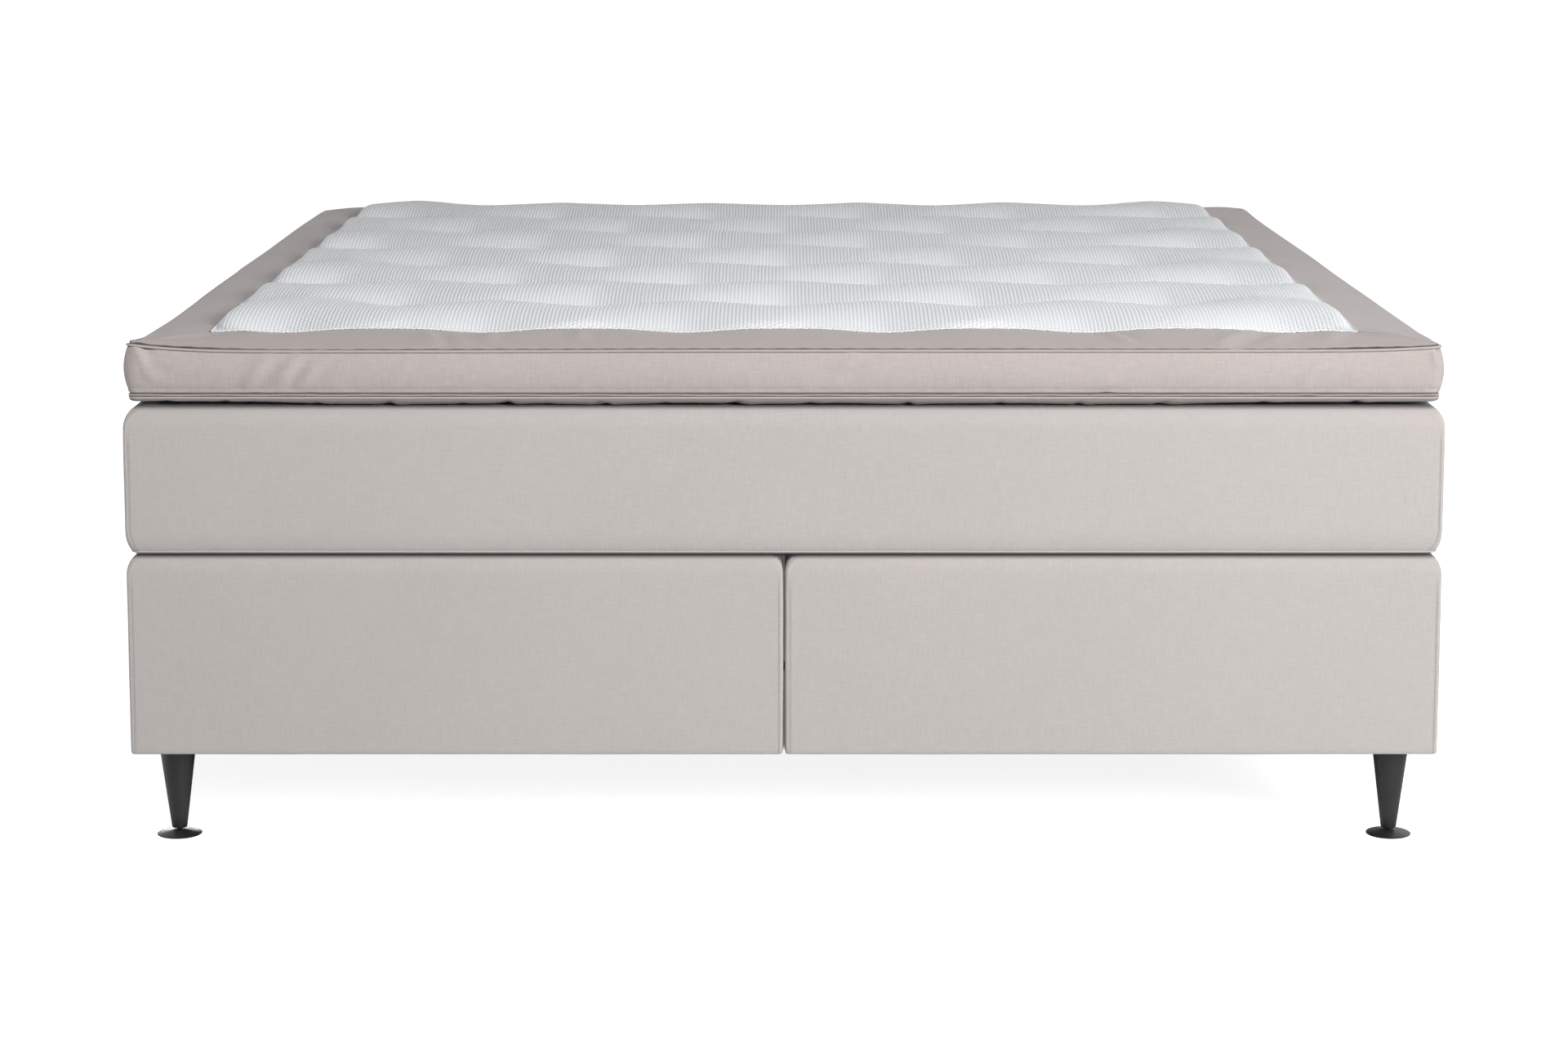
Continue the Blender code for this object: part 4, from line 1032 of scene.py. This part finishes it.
def pan_shape(rows, u):
    x, y, z = np.moveaxis(rows, 2, 0)
    depth = np.clip((ZIP_BOTTOM - 0.0012 - z) / (PAN_HEIGHT - 0.0012), 0, 1)
    out = smooth_noise(x, y, 1.0, 9.0) * 0.0016
    deep = 0 * u
    places = [FRONT + t for t in TUCKS_ON_FRONT] + [0.06 + 0.113 * k for k in range(FAR_TUCKS)]
    for k, place in enumerate(places):
        if k >= len(TUCKS_ON_FRONT) and abs(place - FRONT) < FRONT_REACH:
            continue
        size = 0.62 + 0.38 * math.sin(k * 2.9)
        lean = 0.9 * math.sin(k * 5.1)
        groove = near(u + lean * (ZIP_BOTTOM - z), place, 0.0035 + 0.0025 * size)
        out = out - 0.0042 * size * groove + 0.0014 * size * near(u, place + 0.014, 0.010)
        # painted shade in each tuck
        deep = deep + 0.5 * size * groove * depth
    moved = rows + normals_of(rows) * (out * depth ** 0.7)[:, :, None]
    from_corner = np.hypot(TOPPER_HALF[0] - np.abs(x), TOPPER_HALF[1] - np.abs(y))
    rise = 0.0009 * (1 + np.sin(u * 23.0 + 2 * np.sin(u * 5.0))) + CORNER_PULL * near(from_corner, 0, 0.20)
    moved[:, :, 2] = np.maximum(moved[:, :, 2] + rise * depth ** 1.5, TOPPER_BOTTOM)
    moved[0] = rows[0]
    # painted shade in the tucks, and on the whole underside below the lip
    return moved, deep + LIP_SHADE * (1 + depth) * (depth > 0)


def pan_profile():
    """Up the bottom panel: its flat part, the curve round the foam, and the lip under the zip. The third
    value of each point is painted shade, darkest underneath and where the lip turns in to the zip.
    """
    points = [(0.0420, TOPPER_BOTTOM, 0.6), (0.0340, TOPPER_BOTTOM + 0.0001, 0.6)]
    top = ZIP_BOTTOM - 0.0010
    for k in range(1, 9):
        a = k / 9 * QUARTER_TURN
        points.append((0.0340 - 0.0272 * math.sin(a), top - (PAN_HEIGHT - 0.0010) * math.cos(a), 0.0))
    lip = ((0.0071, -0.0006, 0.45), (0.0060, 0.0003, 0.0), (0.0058, 0.0013, 0.0), (0.0063, 0.0022, 0.05),
           (0.0076, 0.0024, 0.7), (0.0100, 0.0016, 1.0))
    return points + [(inset, ZIP_BOTTOM + rise, shade_mark) for inset, rise, shade_mark in lip]


pan_rows = topper_skin("topper_bottom_cloth", "topper_bottom_panel", pan_profile(), pan_shape,
                       lid_at=TOPPER_BOTTOM)

# %% [markdown]
# Between the two lips lies the zip: a tape set back a little, and a row of coil teeth on it. Each lip is
# held by a row of stitches. The welt on the upper seam is a tube.

# %% Zip and welt
def tape_shape(rows, u):
    moved = rows.copy()
    moved[:, :, 2] += 0.0012 * near(u, FRONT + 0.713, 0.012) + 0.0003 * np.sin(u * 61.0)
    return moved, 0 * u


def closed_line(points):
    """A ring of points as a line that ends where it starts."""
    return np.vstack([points, points[:1]])


# the third values are painted shade on the tape, darkest where it tucks under the lips
tape_profile = [(0.0104, ZIP_BOTTOM + 0.0010, 1.0), (0.0078, ZIP_BOTTOM + 0.0020, 0.75),
                (0.0076, ZIP_MIDDLE, 0.55), (0.0078, ZIP_TOP - 0.0015, 0.75), (0.0104, ZIP_TOP - 0.0005, 1.0)]
tape_rows = topper_skin("topper_zip_tape", "topper_zip", tape_profile, tape_shape)
teeth_path = topper_row(0.0064, ZIP_MIDDLE)
teeth_path[:, 2] = tape_rows[2, :, 2]
teeth = bead_rows("topper_zip_teeth", [closed_line(teeth_path)], 0.0021, (0.0017, 0.0015, 0.0028), zip_coil)
stitch_lines = [closed_line(band_rows[6] + normals_of(band_rows)[6] * 0.0002), closed_line(pan_rows[-5])]
lip_stitches = bead_rows("topper_zip_stitches", stitch_lines, 0.0034, (0.0026, 0.0006, 0.0006), topper_thread)
welt_path = topper_row(BAND_BULGE - 0.0002, SEAM_Z)
welt_path[:, 2] += seam_lift(welt_path[:, 0], welt_path[:, 1])
welt = tube("topper_welt", welt_path, 0.0019, topper_cloth)
for piece, node in ((teeth, None), (lip_stitches, None), (welt, "topper_piping")):
    belongs(piece, "topper", node)
print(teeth.name, len(teeth.data.polygons), "faces")

# %% [markdown]
# The border on top is a frame of cloth over the foam, sewn to the welt outside and to the quilt inside. It
# rises towards the quilt, is mitred at the corners, and is slightly gathered along both seams.

# %% Border
BORDER_START = 0.0090
BORDER_FOLDS = (  # x and distance from the foot end of both ends, width, rise
    ((-0.500, 0.092), (-0.468, 0.018), 0.0095, 0.0048),
    ((-0.463, 0.070), (-0.430, 0.012), 0.0085, 0.0034),
    ((-0.408, 0.100), (-0.398, 0.036), 0.0085, 0.0036),
    ((-0.286, 0.096), (-0.276, 0.040), 0.0085, 0.0030),
    ((0.445, 0.092), (0.475, 0.020), 0.0090, 0.0040),
    ((0.656, 0.104), (0.586, 0.014), 0.0110, 0.0062),
    ((0.708, 0.096), (0.664, 0.030), 0.0090, 0.0034),
    ((0.770, 0.100), (0.738, 0.028), 0.0090, 0.0042),
)


def border_shape(rows, u):
    x, y, _ = np.moveaxis(rows, 2, 0)
    in_x, in_y = TOPPER_HALF[0] - np.abs(x), TOPPER_HALF[1] - np.abs(y)
    inset = np.minimum(in_x, in_y)
    share = ramp(inset, BORDER_START, BORDER_WIDTH)
    out = smooth_noise(x, y, 0.0, 4.5) * 0.0024 + smooth_noise(x, y, 2.0, 17.0) * 0.0010
    out = out * np.sin(np.clip(share, 0.02, 0.98) * math.pi) ** 0.5
    gather = np.sin(u * (FULL_TURN / 0.031) + 2.5 * np.sin(u * 7.0)) * 0.0006
    out = out + gather * (np.exp(-(1 - share) / 0.12) + 0.6 * np.exp(-share / 0.08))
    crease = near(np.abs(in_x - in_y) / math.sqrt(2), 0, 0.0032) * np.clip(share * 5, 0, 1)  # the mitre
    out = out - 0.0024 * crease
    for (sx, sy), height in EARS.items():  # the pull at an ear creases the border round it
        dx, dy = TOPPER_HALF[0] - x * sx, TOPPER_HALF[1] - y * sy
        turn = np.arctan2(dy, dx)
        rays = np.sin(turn * 13 + 2.0 * sx + sy) * np.sin(turn * 5 + sx)
        out = out + (0.0008 + 0.16 * height) * rays * near(np.hypot(dx, dy), 0.10, 0.07)
    for start, end, width, rise in BORDER_FOLDS:
        out = out + fold(x, y + TOPPER_HALF[1], start, end, width, rise)
    moved = rows.copy()
    edge = [np.sign(c) * np.minimum(np.abs(c) + inset, half) for c, half in zip((x, y), TOPPER_HALF)]
    moved[:, :, 2] += out + seam_lift(*edge) * (1 - share) ** 1.6 - edge_dip(x, y) * share
    # painted shade along the mitre crease
    return moved, 0.3 * crease


def border_profile():
    """From the upper seam to the quilt: a narrow ditch behind the welt, then a full curve. The third value is
    painted shade, dark in the ditch and where the border turns under the quilt.
    """
    ditch = ((0.0118, -0.0030, 1.0), (0.0098, -0.0008, 1.0), (0.0089, 0.0012, 0.9), (0.0088, 0.0024, 0.6),
             (BORDER_START + 0.0004, 0.0034, 0.12))
    points = [(inset, SEAM_Z + rise, shade_mark) for inset, rise, shade_mark in ditch]
    low, start = SEAM_Z + 0.0042, BORDER_START + 0.0006
    for share in (0.01, 0.03, 0.07, 0.13, 0.21, 0.30, 0.40, 0.50, 0.60, 0.70, 0.79, 0.87, 0.94, 1.0):
        lift = 0.42 * math.sin(share * QUARTER_TURN) + 0.58 * share
        points.append((start + share * (BORDER_WIDTH - start), low + (QUILT_EDGE_Z - low) * lift, 0.0))
    return [*points, (BORDER_WIDTH + 0.0035, QUILT_EDGE_Z - 0.0045, 1.0)]


topper_skin("topper_border_cloth", "topper_border", border_profile(), border_shape)

# %% [markdown]
# ## The quilted panel
# The white panel is knitted cloth over soft wadding, drawn down by six rows of tufts between two sewn ends.
# The rows alternate, so the cloth rises in rolls that swell, narrow and snake. A height rule gives that
# form first: each tuft draws a wide hollow round it, and a valley with steep sides joins the tufts of a
# row.

# %% The form of the quilt
TUFT_ROWS = 7
ROW_PITCH = 2 * QUILT_HALF[1] / TUFT_ROWS
QUILT_TOP = 0.7260
TUFT_DEPTH = 0.0060
TUFT_PULL = 0.0115  # how far a tuft draws down the rolls on both sides of it
TUFT_REACH = 0.086
VALLEY_DEPTH = 0.0225
DEEPEST = 0.0215  # a valley deeper than this below the seam would reach the foam
RIM = 0.019  # how far in from its seam the panel reaches its full height
RIM_FLAT = 0.0045  # the flat seam allowance that shows before the wadding starts
RIM_CORNER = 0.045


def tuft_shift(row):
    return 0.5 if row % 2 == 0 else 0.0


def tuft_places():
    """(x, y) of every tuft inside the panel."""
    places = [((k + tuft_shift(row)) * TUFT_SPACING, -QUILT_HALF[1] + row * ROW_PITCH)
              for row in range(1, TUFT_ROWS) for k in range(-3, 4)]
    return [(x, y) for x, y in places if abs(x) < QUILT_HALF[0] - 0.06]


def rim_share(x, y):
    """0 on the seam, 1 where the panel is at its full height: a quarter circle, rounded at the corners."""
    dx, dy = (np.maximum(half - np.abs(c) - RIM_FLAT, 0) for c, half in zip((x, y), QUILT_HALF))
    corner = RIM_CORNER - np.hypot(np.maximum(RIM_CORNER - dx, 0), np.maximum(RIM_CORNER - dy, 0))
    reach = np.clip(np.minimum(np.minimum(dx, dy), corner) / RIM, 0, 1)
    return np.sqrt(1 - (1 - reach) ** 2)


def quilt_form(x, y):
    """Height of the panel before it is filled, and the painted shade in its valleys beside the tufts."""
    drop, deep = np.zeros_like(x), np.zeros_like(x)
    side = ramp(np.abs(x), 0.46, 0.70)
    for row in range(TUFT_ROWS + 1):
        inner = 0 < row < TUFT_ROWS
        snake = 0.020 * smooth_noise(x, row * 7.7, 0.0, 1.8) if inner else 0.0
        away = (y + QUILT_HALF[1] - row * ROW_PITCH - snake) / ROW_PITCH
        phase = x / TUFT_SPACING + tuft_shift(row)
        close = np.exp(-(np.abs(phase - np.round(phase)) * TUFT_SPACING / TUFT_REACH) ** 1.6)
        full = np.abs(np.sin(np.clip(away, -0.5, 0.5) * math.pi)) ** (0.50 + 0.30 * close)
        strength = 0.80 + 0.45 * smooth_noise(row * 3.3, x, 0.0, 2.2)
        strength = strength * (1 + side * (0.35 if row % 2 == 0 else -0.55))
        drop = drop + (VALLEY_DEPTH * strength + TUFT_DEPTH * close) * (1 - full)
        drop = drop + TUFT_PULL * close * near(away, 0, 0.55)
        if inner:
            # painted shade: darker in each valley next to its tufts
            deep = np.maximum(deep, near(away * ROW_PITCH, -0.004, 0.008) * 0.4 * close)
    level = QUILT_EDGE_Z + 0.0004 - edge_dip(x, y)
    rise = QUILT_TOP - drop + smooth_noise(x, y, 6.0, 6.0) * 0.0010 - level
    rim = rim_share(x, y)
    return level + np.maximum(rise, 0.0012 - DEEPEST * rim) * rim, deep


QUILT_STEP = 0.0125
RIM_LINES = (0.0, 0.0035, 0.0065, 0.010, 0.0145, 0.021)  # the panel's own lines of points, in from its seam


def panel_lines(half):
    """Places of the lines of points across the panel: close together near both seams, even in between."""
    near_edge = half - np.array(RIM_LINES)
    reach = half - 0.031
    middle = np.linspace(-1, 1, 2 * round(reach / QUILT_STEP) + 1) * reach
    return np.concatenate([-near_edge, middle, near_edge[::-1]])


quilt_xs, quilt_ys = panel_lines(QUILT_HALF[0]), panel_lines(QUILT_HALF[1])
print(len(tuft_places()), "tufts;", len(quilt_xs) * len(quilt_ys), "points in the panel")

# %% [markdown]
# Then the panel becomes a real cloth. Its seams and tufts are pinned, air pressure from below fills it, and
# the cloth takes up the slack as it would. The pull of the air is scaled by a soft limit and evened out
# between neighbours, and the result is one mesh with no Cloth left on it.

# %% Fill the quilt
QUILT_CAP = (0.0016, 0.0045)  # a pull of the air stays below this, in the middle and at the long sides
QUILT_EASING = 5  # rounds of evening out, as the wadding does under the cloth
QUILT_FRAMES = 20
TUFT_RADIUS = 0.011
CLOTH_SETTINGS = {"quality": 6, "mass": 0.25, "tension_stiffness": 18, "compression_stiffness": 12,
                  "shear_stiffness": 8, "bending_stiffness": 0.6, "vertex_group_mass": "held",
                  "use_pressure": True, "uniform_pressure_force": 2.0, "shrink_min": -0.012}


def fill_with_air(piece, pinned, cap):
    """Runs a short cloth simulation on a panel held at its pinned points, and keeps the result."""
    before = np.array([v.co for v in piece.data.vertices])
    group = piece.vertex_groups.new(name="held")
    group.add([int(k) for k in pinned], 1.0, "REPLACE")
    cloth = piece.modifiers.new("fill", "CLOTH")
    for key, value in CLOTH_SETTINGS.items():
        setattr(cloth.settings, key, value)
    cloth.settings.effector_weights.gravity = 0
    cloth.collision_settings.use_collision = False
    cloth.point_cache.frame_start, cloth.point_cache.frame_end = 1, QUILT_FRAMES
    for step in range(1, QUILT_FRAMES + 1):
        scene.frame_set(step)
    settled = piece.evaluated_get(bpy.context.evaluated_depsgraph_get()).to_mesh()
    move = np.array([v.co for v in settled.vertices]) - before
    piece.modifiers.remove(cloth)
    piece.vertex_groups.clear()
    scene.frame_set(1)
    far = np.linalg.norm(move, axis=1, keepdims=True)
    print("pull of the air, in the middle, near the top and at the top of its range:",
          np.round(np.percentile(far, (50, 95, 100)), 4))
    move *= cap[:, None] / (cap[:, None] + far)
    ends = np.array([edge.vertices for edge in piece.data.edges])
    count = np.bincount(ends.ravel(), minlength=len(move))[:, None]
    for _ in range(QUILT_EASING):
        around = np.zeros_like(move)
        np.add.at(around, ends[:, 0], move[ends[:, 1]])
        np.add.at(around, ends[:, 1], move[ends[:, 0]])
        move = (move + around / count) / 2
        move[pinned] = 0
    piece.data.vertices.foreach_set("co", (before + move).astype(np.float32).ravel())
    piece.data.update()


def quilt_panel():
    height, deep = quilt_form(*np.meshgrid(quilt_xs, quilt_ys))
    sewing = Sewing()
    sewing.lid(quilt_xs, quilt_ys, height, deep=deep)
    piece = sewing.piece("topper_quilt_panel", quilt_cloth, merge=0)
    x, y, _ = np.array([v.co for v in piece.data.vertices]).T
    held = (np.abs(x) > QUILT_HALF[0] - 0.001) | (np.abs(y) > QUILT_HALF[1] - 0.001)
    for tuft_x, tuft_y in tuft_places():
        held |= np.hypot(x - tuft_x, y - tuft_y) < TUFT_RADIUS
    cap = QUILT_CAP[0] + (QUILT_CAP[1] - QUILT_CAP[0]) * near(np.abs(x), QUILT_HALF[0], 0.06)
    fill_with_air(piece, np.flatnonzero(held), cap)
    finer = piece.modifiers.new("finer", "SUBSURF")
    finer.levels = finer.render_levels = 1
    return piece


def edge_cord():
    """Thin overlocked edge where the panel is sewn to the border."""
    row = topper_plan.row(BORDER_WIDTH, QUILT_EDGE_Z + 0.0006, 0.004)
    row[:, 2] -= edge_dip(row[:, 0], row[:, 1])
    return tube("topper_quilt_edge", row, 0.0013, quilt_cloth, sides=6)


quilt = belongs(quilt_panel(), "topper", "topper_quilt")
belongs(edge_cord(), "topper")
print(quilt.name, len(quilt.data.polygons), "faces before the last subdivision")

# %% [markdown]
# ## What fills the covers
# Inside the covers are foam pads, a felt pad, and springs in fleece pockets. They show only when a cover is
# off, but the bed is a real assembly, so each is its own piece. A pad is a skin with rounded edges.

# %% Pads
PAD_CORNER = 0.004
PAD_SHRINK = 0.0004  # the room between a pad and its neighbours
PAD_ROLL = (0.003, 0.003)
FRAME_THICKNESS = 0.0496


def pad_plan(low, high, shrink):
    half = ((high.x - low.x) / 2 - shrink, (high.y - low.y) / 2 - shrink)
    return Plan(*half, PAD_CORNER, 0.05, corner_steps=4, near=(0.002, 0.006, 0.02))


def pad(name, node, body, material, top_roll=PAD_ROLL, low_roll=PAD_ROLL, shrink=PAD_SHRINK):
    """A slab in the room of a CAD node, with rounded upper and lower edges and a slightly uneven skin."""
    low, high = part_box(node)
    middle = (low + high) / 2
    plan = pad_plan(low, high, shrink)
    foot = quarter(*low_roll, low.z + low_roll[1], -1, 4)[::-1]
    head = quarter(*top_roll, high.z - top_roll[1], 1, 4)
    lids = ((low_roll[0] + 0.006, low.z, -1), (top_roll[0] + 0.006, high.z, 1))
    sides = [(inset, z, PAD_CORNER) for inset, z in foot + head]
    rows = plan.rows([(*lids[0][:2], 0.0), *sides, (*lids[1][:2], 0.0)])
    uneven = 0.5 + smooth_noise(*np.moveaxis(rows[2:-2], 2, 0), 8.0)
    rows[2:-2] -= normals_of(rows)[2:-2] * uneven[:, :, None] * 0.0002
    sewing = Sewing()
    sewing.band(rows + np.array([middle.x, middle.y, 0]), plan.along, heights_up(rows))
    for inset, level, facing in lids:
        xs, ys = (s * (half - inset) + c for s, half, c in zip(plan.shares, plan.half, middle))
        sewing.lid(xs, ys, level, facing)
    belongs(sewing.piece(name, material), body, node)


def foam_frame(name, node, body, material, thickness=FRAME_THICKNESS, edge=0.002):
    """The mattress's edge foam: four rails of foam glued into a frame."""
    low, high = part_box(node)
    outline = [(edge, low.z), (0, low.z + edge), (0, high.z - edge), (edge, high.z),
               (thickness - edge, high.z), (thickness, high.z - edge), (thickness, low.z + edge),
               (thickness - edge, low.z), (edge, low.z)]
    plan = pad_plan(low, high, PAD_SHRINK)
    rows = plan.rows([(inset, z, PAD_CORNER if inset < edge * 2 else 0.0) for inset, z in outline])
    sewing = Sewing()
    sewing.band(rows, plan.along, heights_up(rows))
    belongs(sewing.piece(name, material), body, node)


for side in ("left", "right"):
    base = side + "_base"
    pad(base + "_foam", side + "_foam_pad", base, cream_foam, top_roll=(0.0115, 0.0205))
    pad(base + "_felt", side + "_felt_pad", base, grey_felt, (0.0015, 0.0015), (0.0015, 0.0015))
pad("mattress_top_foam", "mattress_upper_foam", "mattress", cream_foam, top_roll=(0.0155, 0.0235))
pad("mattress_bottom_foam", "mattress_lower_foam", "mattress", cream_foam, low_roll=(0.0085, 0.0315))
pad("mattress_bottom_cloth", "mattress_underside", "mattress", cover_cloth,
    (0.001, 0.0015), (0.002, 0.0015))
foam_frame("mattress_side_foam", "mattress_edge_foam", "mattress", cream_foam)
pad("topper_foam", "topper_core", "topper", cream_foam, (0.006, 0.006), (0.006, 0.006), shrink=0.009)

# %% [markdown]
# The pockets are one barrel repeated on a grid of points by a second Geometry Nodes tree, which swells a
# plain cylinder in the middle.

# %% Pocket springs
def pocket_tree():
    """Puts a barrel of a given radius and height on every point. Its ends are narrower than its middle."""
    rule, (points, radius, height, finish) = new_tree("spring_pockets", ("Radius", "Height"))
    barrel = rule.node("GeometryNodeMeshCylinder", {}, {"Vertices": 14, "Side Segments": 6, "Radius": radius,
                                                        "Depth": height})
    x, y, z = rule.split(rule.node("GeometryNodeInputPosition", {}, {}))
    slim = 1 - (z * 2 / height).size() ** 4 * 0.16
    place = rule.join(x * slim, y * slim, z)
    swollen = rule.node("GeometryNodeSetPosition", {}, {"Geometry": barrel, "Position": place})
    return copies_on(rule, {"Points": points, "Instance": swollen}, finish)


POCKETS = pocket_tree()


def pocket_unit(name, node, body, pitch):
    """Fills the room of a spring unit's CAD node with glued rows of pockets."""
    low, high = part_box(node)
    size = high - low
    across, along = round(size.x / pitch), round(size.y / pitch)
    step_x, step_y = size.x / across, size.y / along
    centres = [(low.x + (i + 0.5) * step_x, low.y + (j + 0.5) * step_y, (low.z + high.z) / 2)
               for i in range(across) for j in range(along)]
    values = {"Radius": min(step_x, step_y) / 2 * 0.995, "Height": size.z - 0.0006}
    belongs(grown(name, centres, [], POCKETS, values, pocket_fleece), body, node)
    print(name, "has", across * along, "pockets")


for side in ("left", "right"):
    pocket_unit(side + "_base_springs", side + "_spring_unit", side + "_base", 0.090)
pocket_unit("mattress_springs", "mattress_spring_unit", "mattress", 0.075)

# %% [markdown]
# ## The underside
# A thin black cloth keeps the dust out of each base. It is stapled along the rails and hangs very slightly
# between them. The staples are beads of the row tree in zinc.

# %% Dust cloths and staples
CLOTH_Z = 0.1256
CLOTH_SAG = 0.0012
STAPLE = (0.011, 0.0012, 0.0006)
STAPLE_INSET = 0.011
STAPLE_PITCH = 0.047


def dust_sheet(side):
    body = side + "_base"
    low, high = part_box(side + "_dust_cloth")
    xs, ys = np.linspace(low.x, high.x, 33), np.linspace(low.y, high.y, 65)
    x, y = np.meshgrid(xs, ys)
    from_edge = np.minimum(np.minimum(x - low.x, high.x - x), np.minimum(y - low.y, high.y - y))
    reach = ramp(from_edge, 0, 0.2)
    for sign in (-1, 1):  # flat where the legs and plates are screwed on
        reach = reach * (1 - near(y, sign * 0.45, 0.16)) * (1 - near(y, sign * 0.94, 0.16))
    sewing = Sewing()
    sewing.lid(xs, ys, CLOTH_Z - CLOTH_SAG * reach + smooth_noise(x, y, 0.0, 14.0) * 0.0003, facing=-1)
    cloth = sewing.piece(side + "_dust_sheet", dust_cloth_black, merge=0)
    x0, y0, x1, y1 = low.x + STAPLE_INSET, low.y + STAPLE_INSET, high.x - STAPLE_INSET, high.y - STAPLE_INSET
    corners = [(x, y, CLOTH_Z - 0.0003) for x, y in ((x0, y0), (x1, y0), (x1, y1), (x0, y1), (x0, y0))]
    staples = bead_rows(side + "_staples", zip(corners, corners[1:]), STAPLE_PITCH, STAPLE, zinc_plate)
    belongs(cloth, body, side + "_dust_cloth")
    belongs(staples, body)
    print(cloth.name, "has", len(cloth.data.polygons), "faces")


for side in ("left", "right"):
    dust_sheet(side)

# %% [markdown]
# ## Legs and feet
# Each leg is a moulded cone with a threaded steel stud, and each foot a thin disc on a threaded stem that
# screws in and out. Turned shapes are a profile spun round an axis. The thread is a true helix: the radius
# of each point depends on its height and its angle together.

# %% Turned pieces
TURNED_STEPS = 48
THREAD_PITCH = 0.00125
THREAD_DEPTH = 0.0006
THREAD_STEP = 0.0003
LEG_RADII = (0.025, 0.0105)
LEG_LENGTH = 0.1151
STUD_RADIUS = 0.004
HOLE_RADIUS = 0.0045
HOLE_DEPTH = 0.031
FOOT_RADIUS = 0.031
FOOT_RIM = 0.0015
FOOT_HEIGHT = 0.0065


def turned(node, ending, profile, material):
    """A profile of (radius, height) spun round the middle of a CAD node. A third value cuts a thread."""
    low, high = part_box(node)
    centre = (low + high) / 2
    angles = np.arange(TURNED_STEPS) / TURNED_STEPS * FULL_TURN
    rows = []
    for radius, z, *threaded in profile:
        turn = (z / THREAD_PITCH - angles / FULL_TURN) % 1.0
        reach = radius - THREAD_DEPTH * np.abs(turn * 2 - 1) * bool(threaded)
        rows.append(np.column_stack([centre.x + reach * np.cos(angles), centre.y + reach * np.sin(angles),
                                     np.full(TURNED_STEPS, z)]))
    rows = np.array(rows)
    sewing = Sewing()
    sewing.band(rows, np.append(angles, FULL_TURN) * profile[1][0], heights_up(rows))
    made = belongs(sewing.piece(node + ending, material, merge=0.000005), node, node)
    made.data.set_sharp_from_angle(angle=math.radians(50))


def threaded_end(low, high):
    """The threaded part of a stud from low to high, and its chamfered end above it."""
    count = max(2, round((high - 0.001 - low) / THREAD_STEP))
    points = [(STUD_RADIUS, low + (high - 0.001 - low) * k / count, True) for k in range(count + 1)]
    return points + [(0.003, high), (0, high)]


def leg(node):
    low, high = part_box(node)
    foot_z, top_z = low.z, low.z + LEG_LENGTH
    top, tip = LEG_RADII
    sides = [(tip + (top - tip) * s, foot_z + s * LEG_LENGTH) for s in (0.012, 0.25, 0.5, 0.75, 0.978)]
    profile = [(0, foot_z + HOLE_DEPTH), (HOLE_RADIUS, foot_z + HOLE_DEPTH), (HOLE_RADIUS, foot_z),
               (tip - 0.0008, foot_z), (tip - 0.0002, foot_z + 0.0004), *sides,
               (top - 0.0004, top_z - 0.0012), (top - 0.0012, top_z), (STUD_RADIUS, top_z)]
    turned(node, "_cone", profile + threaded_end(top_z + 0.001, high.z), leg_plastic)


def foot(node):
    profile = [(0, 0.0004), (0.0285, 0.0004), (0.0295, 0), (0.0305, 0), (FOOT_RADIUS, 0.0005),
               (FOOT_RADIUS, FOOT_RIM - 0.0003), (FOOT_RADIUS - 0.0004, FOOT_RIM), (0.022, 0.0029),
               (0.012, 0.0052), (0.0085, 0.0062), (0.0078, FOOT_HEIGHT), (STUD_RADIUS, FOOT_HEIGHT)]
    profile += threaded_end(FOOT_HEIGHT + 0.0005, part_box(node)[1].z)
    turned(node, "_disc", profile, foot_plastic)


for node in sorted(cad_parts):
    if node.startswith("leg_"):
        leg(node)
    if node.startswith("foot_"):
        foot(node)

# %% [markdown]
# ## Pieces that keep their CAD shape
# The rails, boards, slats, plates, slider and pull have their real shape already. They only get a better
# finish, with the pine's grain along each board.

# %% Finish the rigid pieces
RIGID = {pine_along_y: ("_outer_rail", "_inner_rail", "_leg_board"),
         pine_along_x: ("_foot_rail", "_head_rail", "_slat_roll"),
         zinc_plate: ("joining_plate_front", "joining_plate_rear", "zip_slider", "zip_pull")}

count = 0
for node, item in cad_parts.items():
    for material, endings in RIGID.items():
        if node.endswith(endings):
            count += 1
            for holder in item.material_slots:
                holder.material = material
print("rigid pieces:", count)

# %% [markdown]
# The dressed bed has to be the size of the frame, apart from a few millimetres that cloth may stand proud.
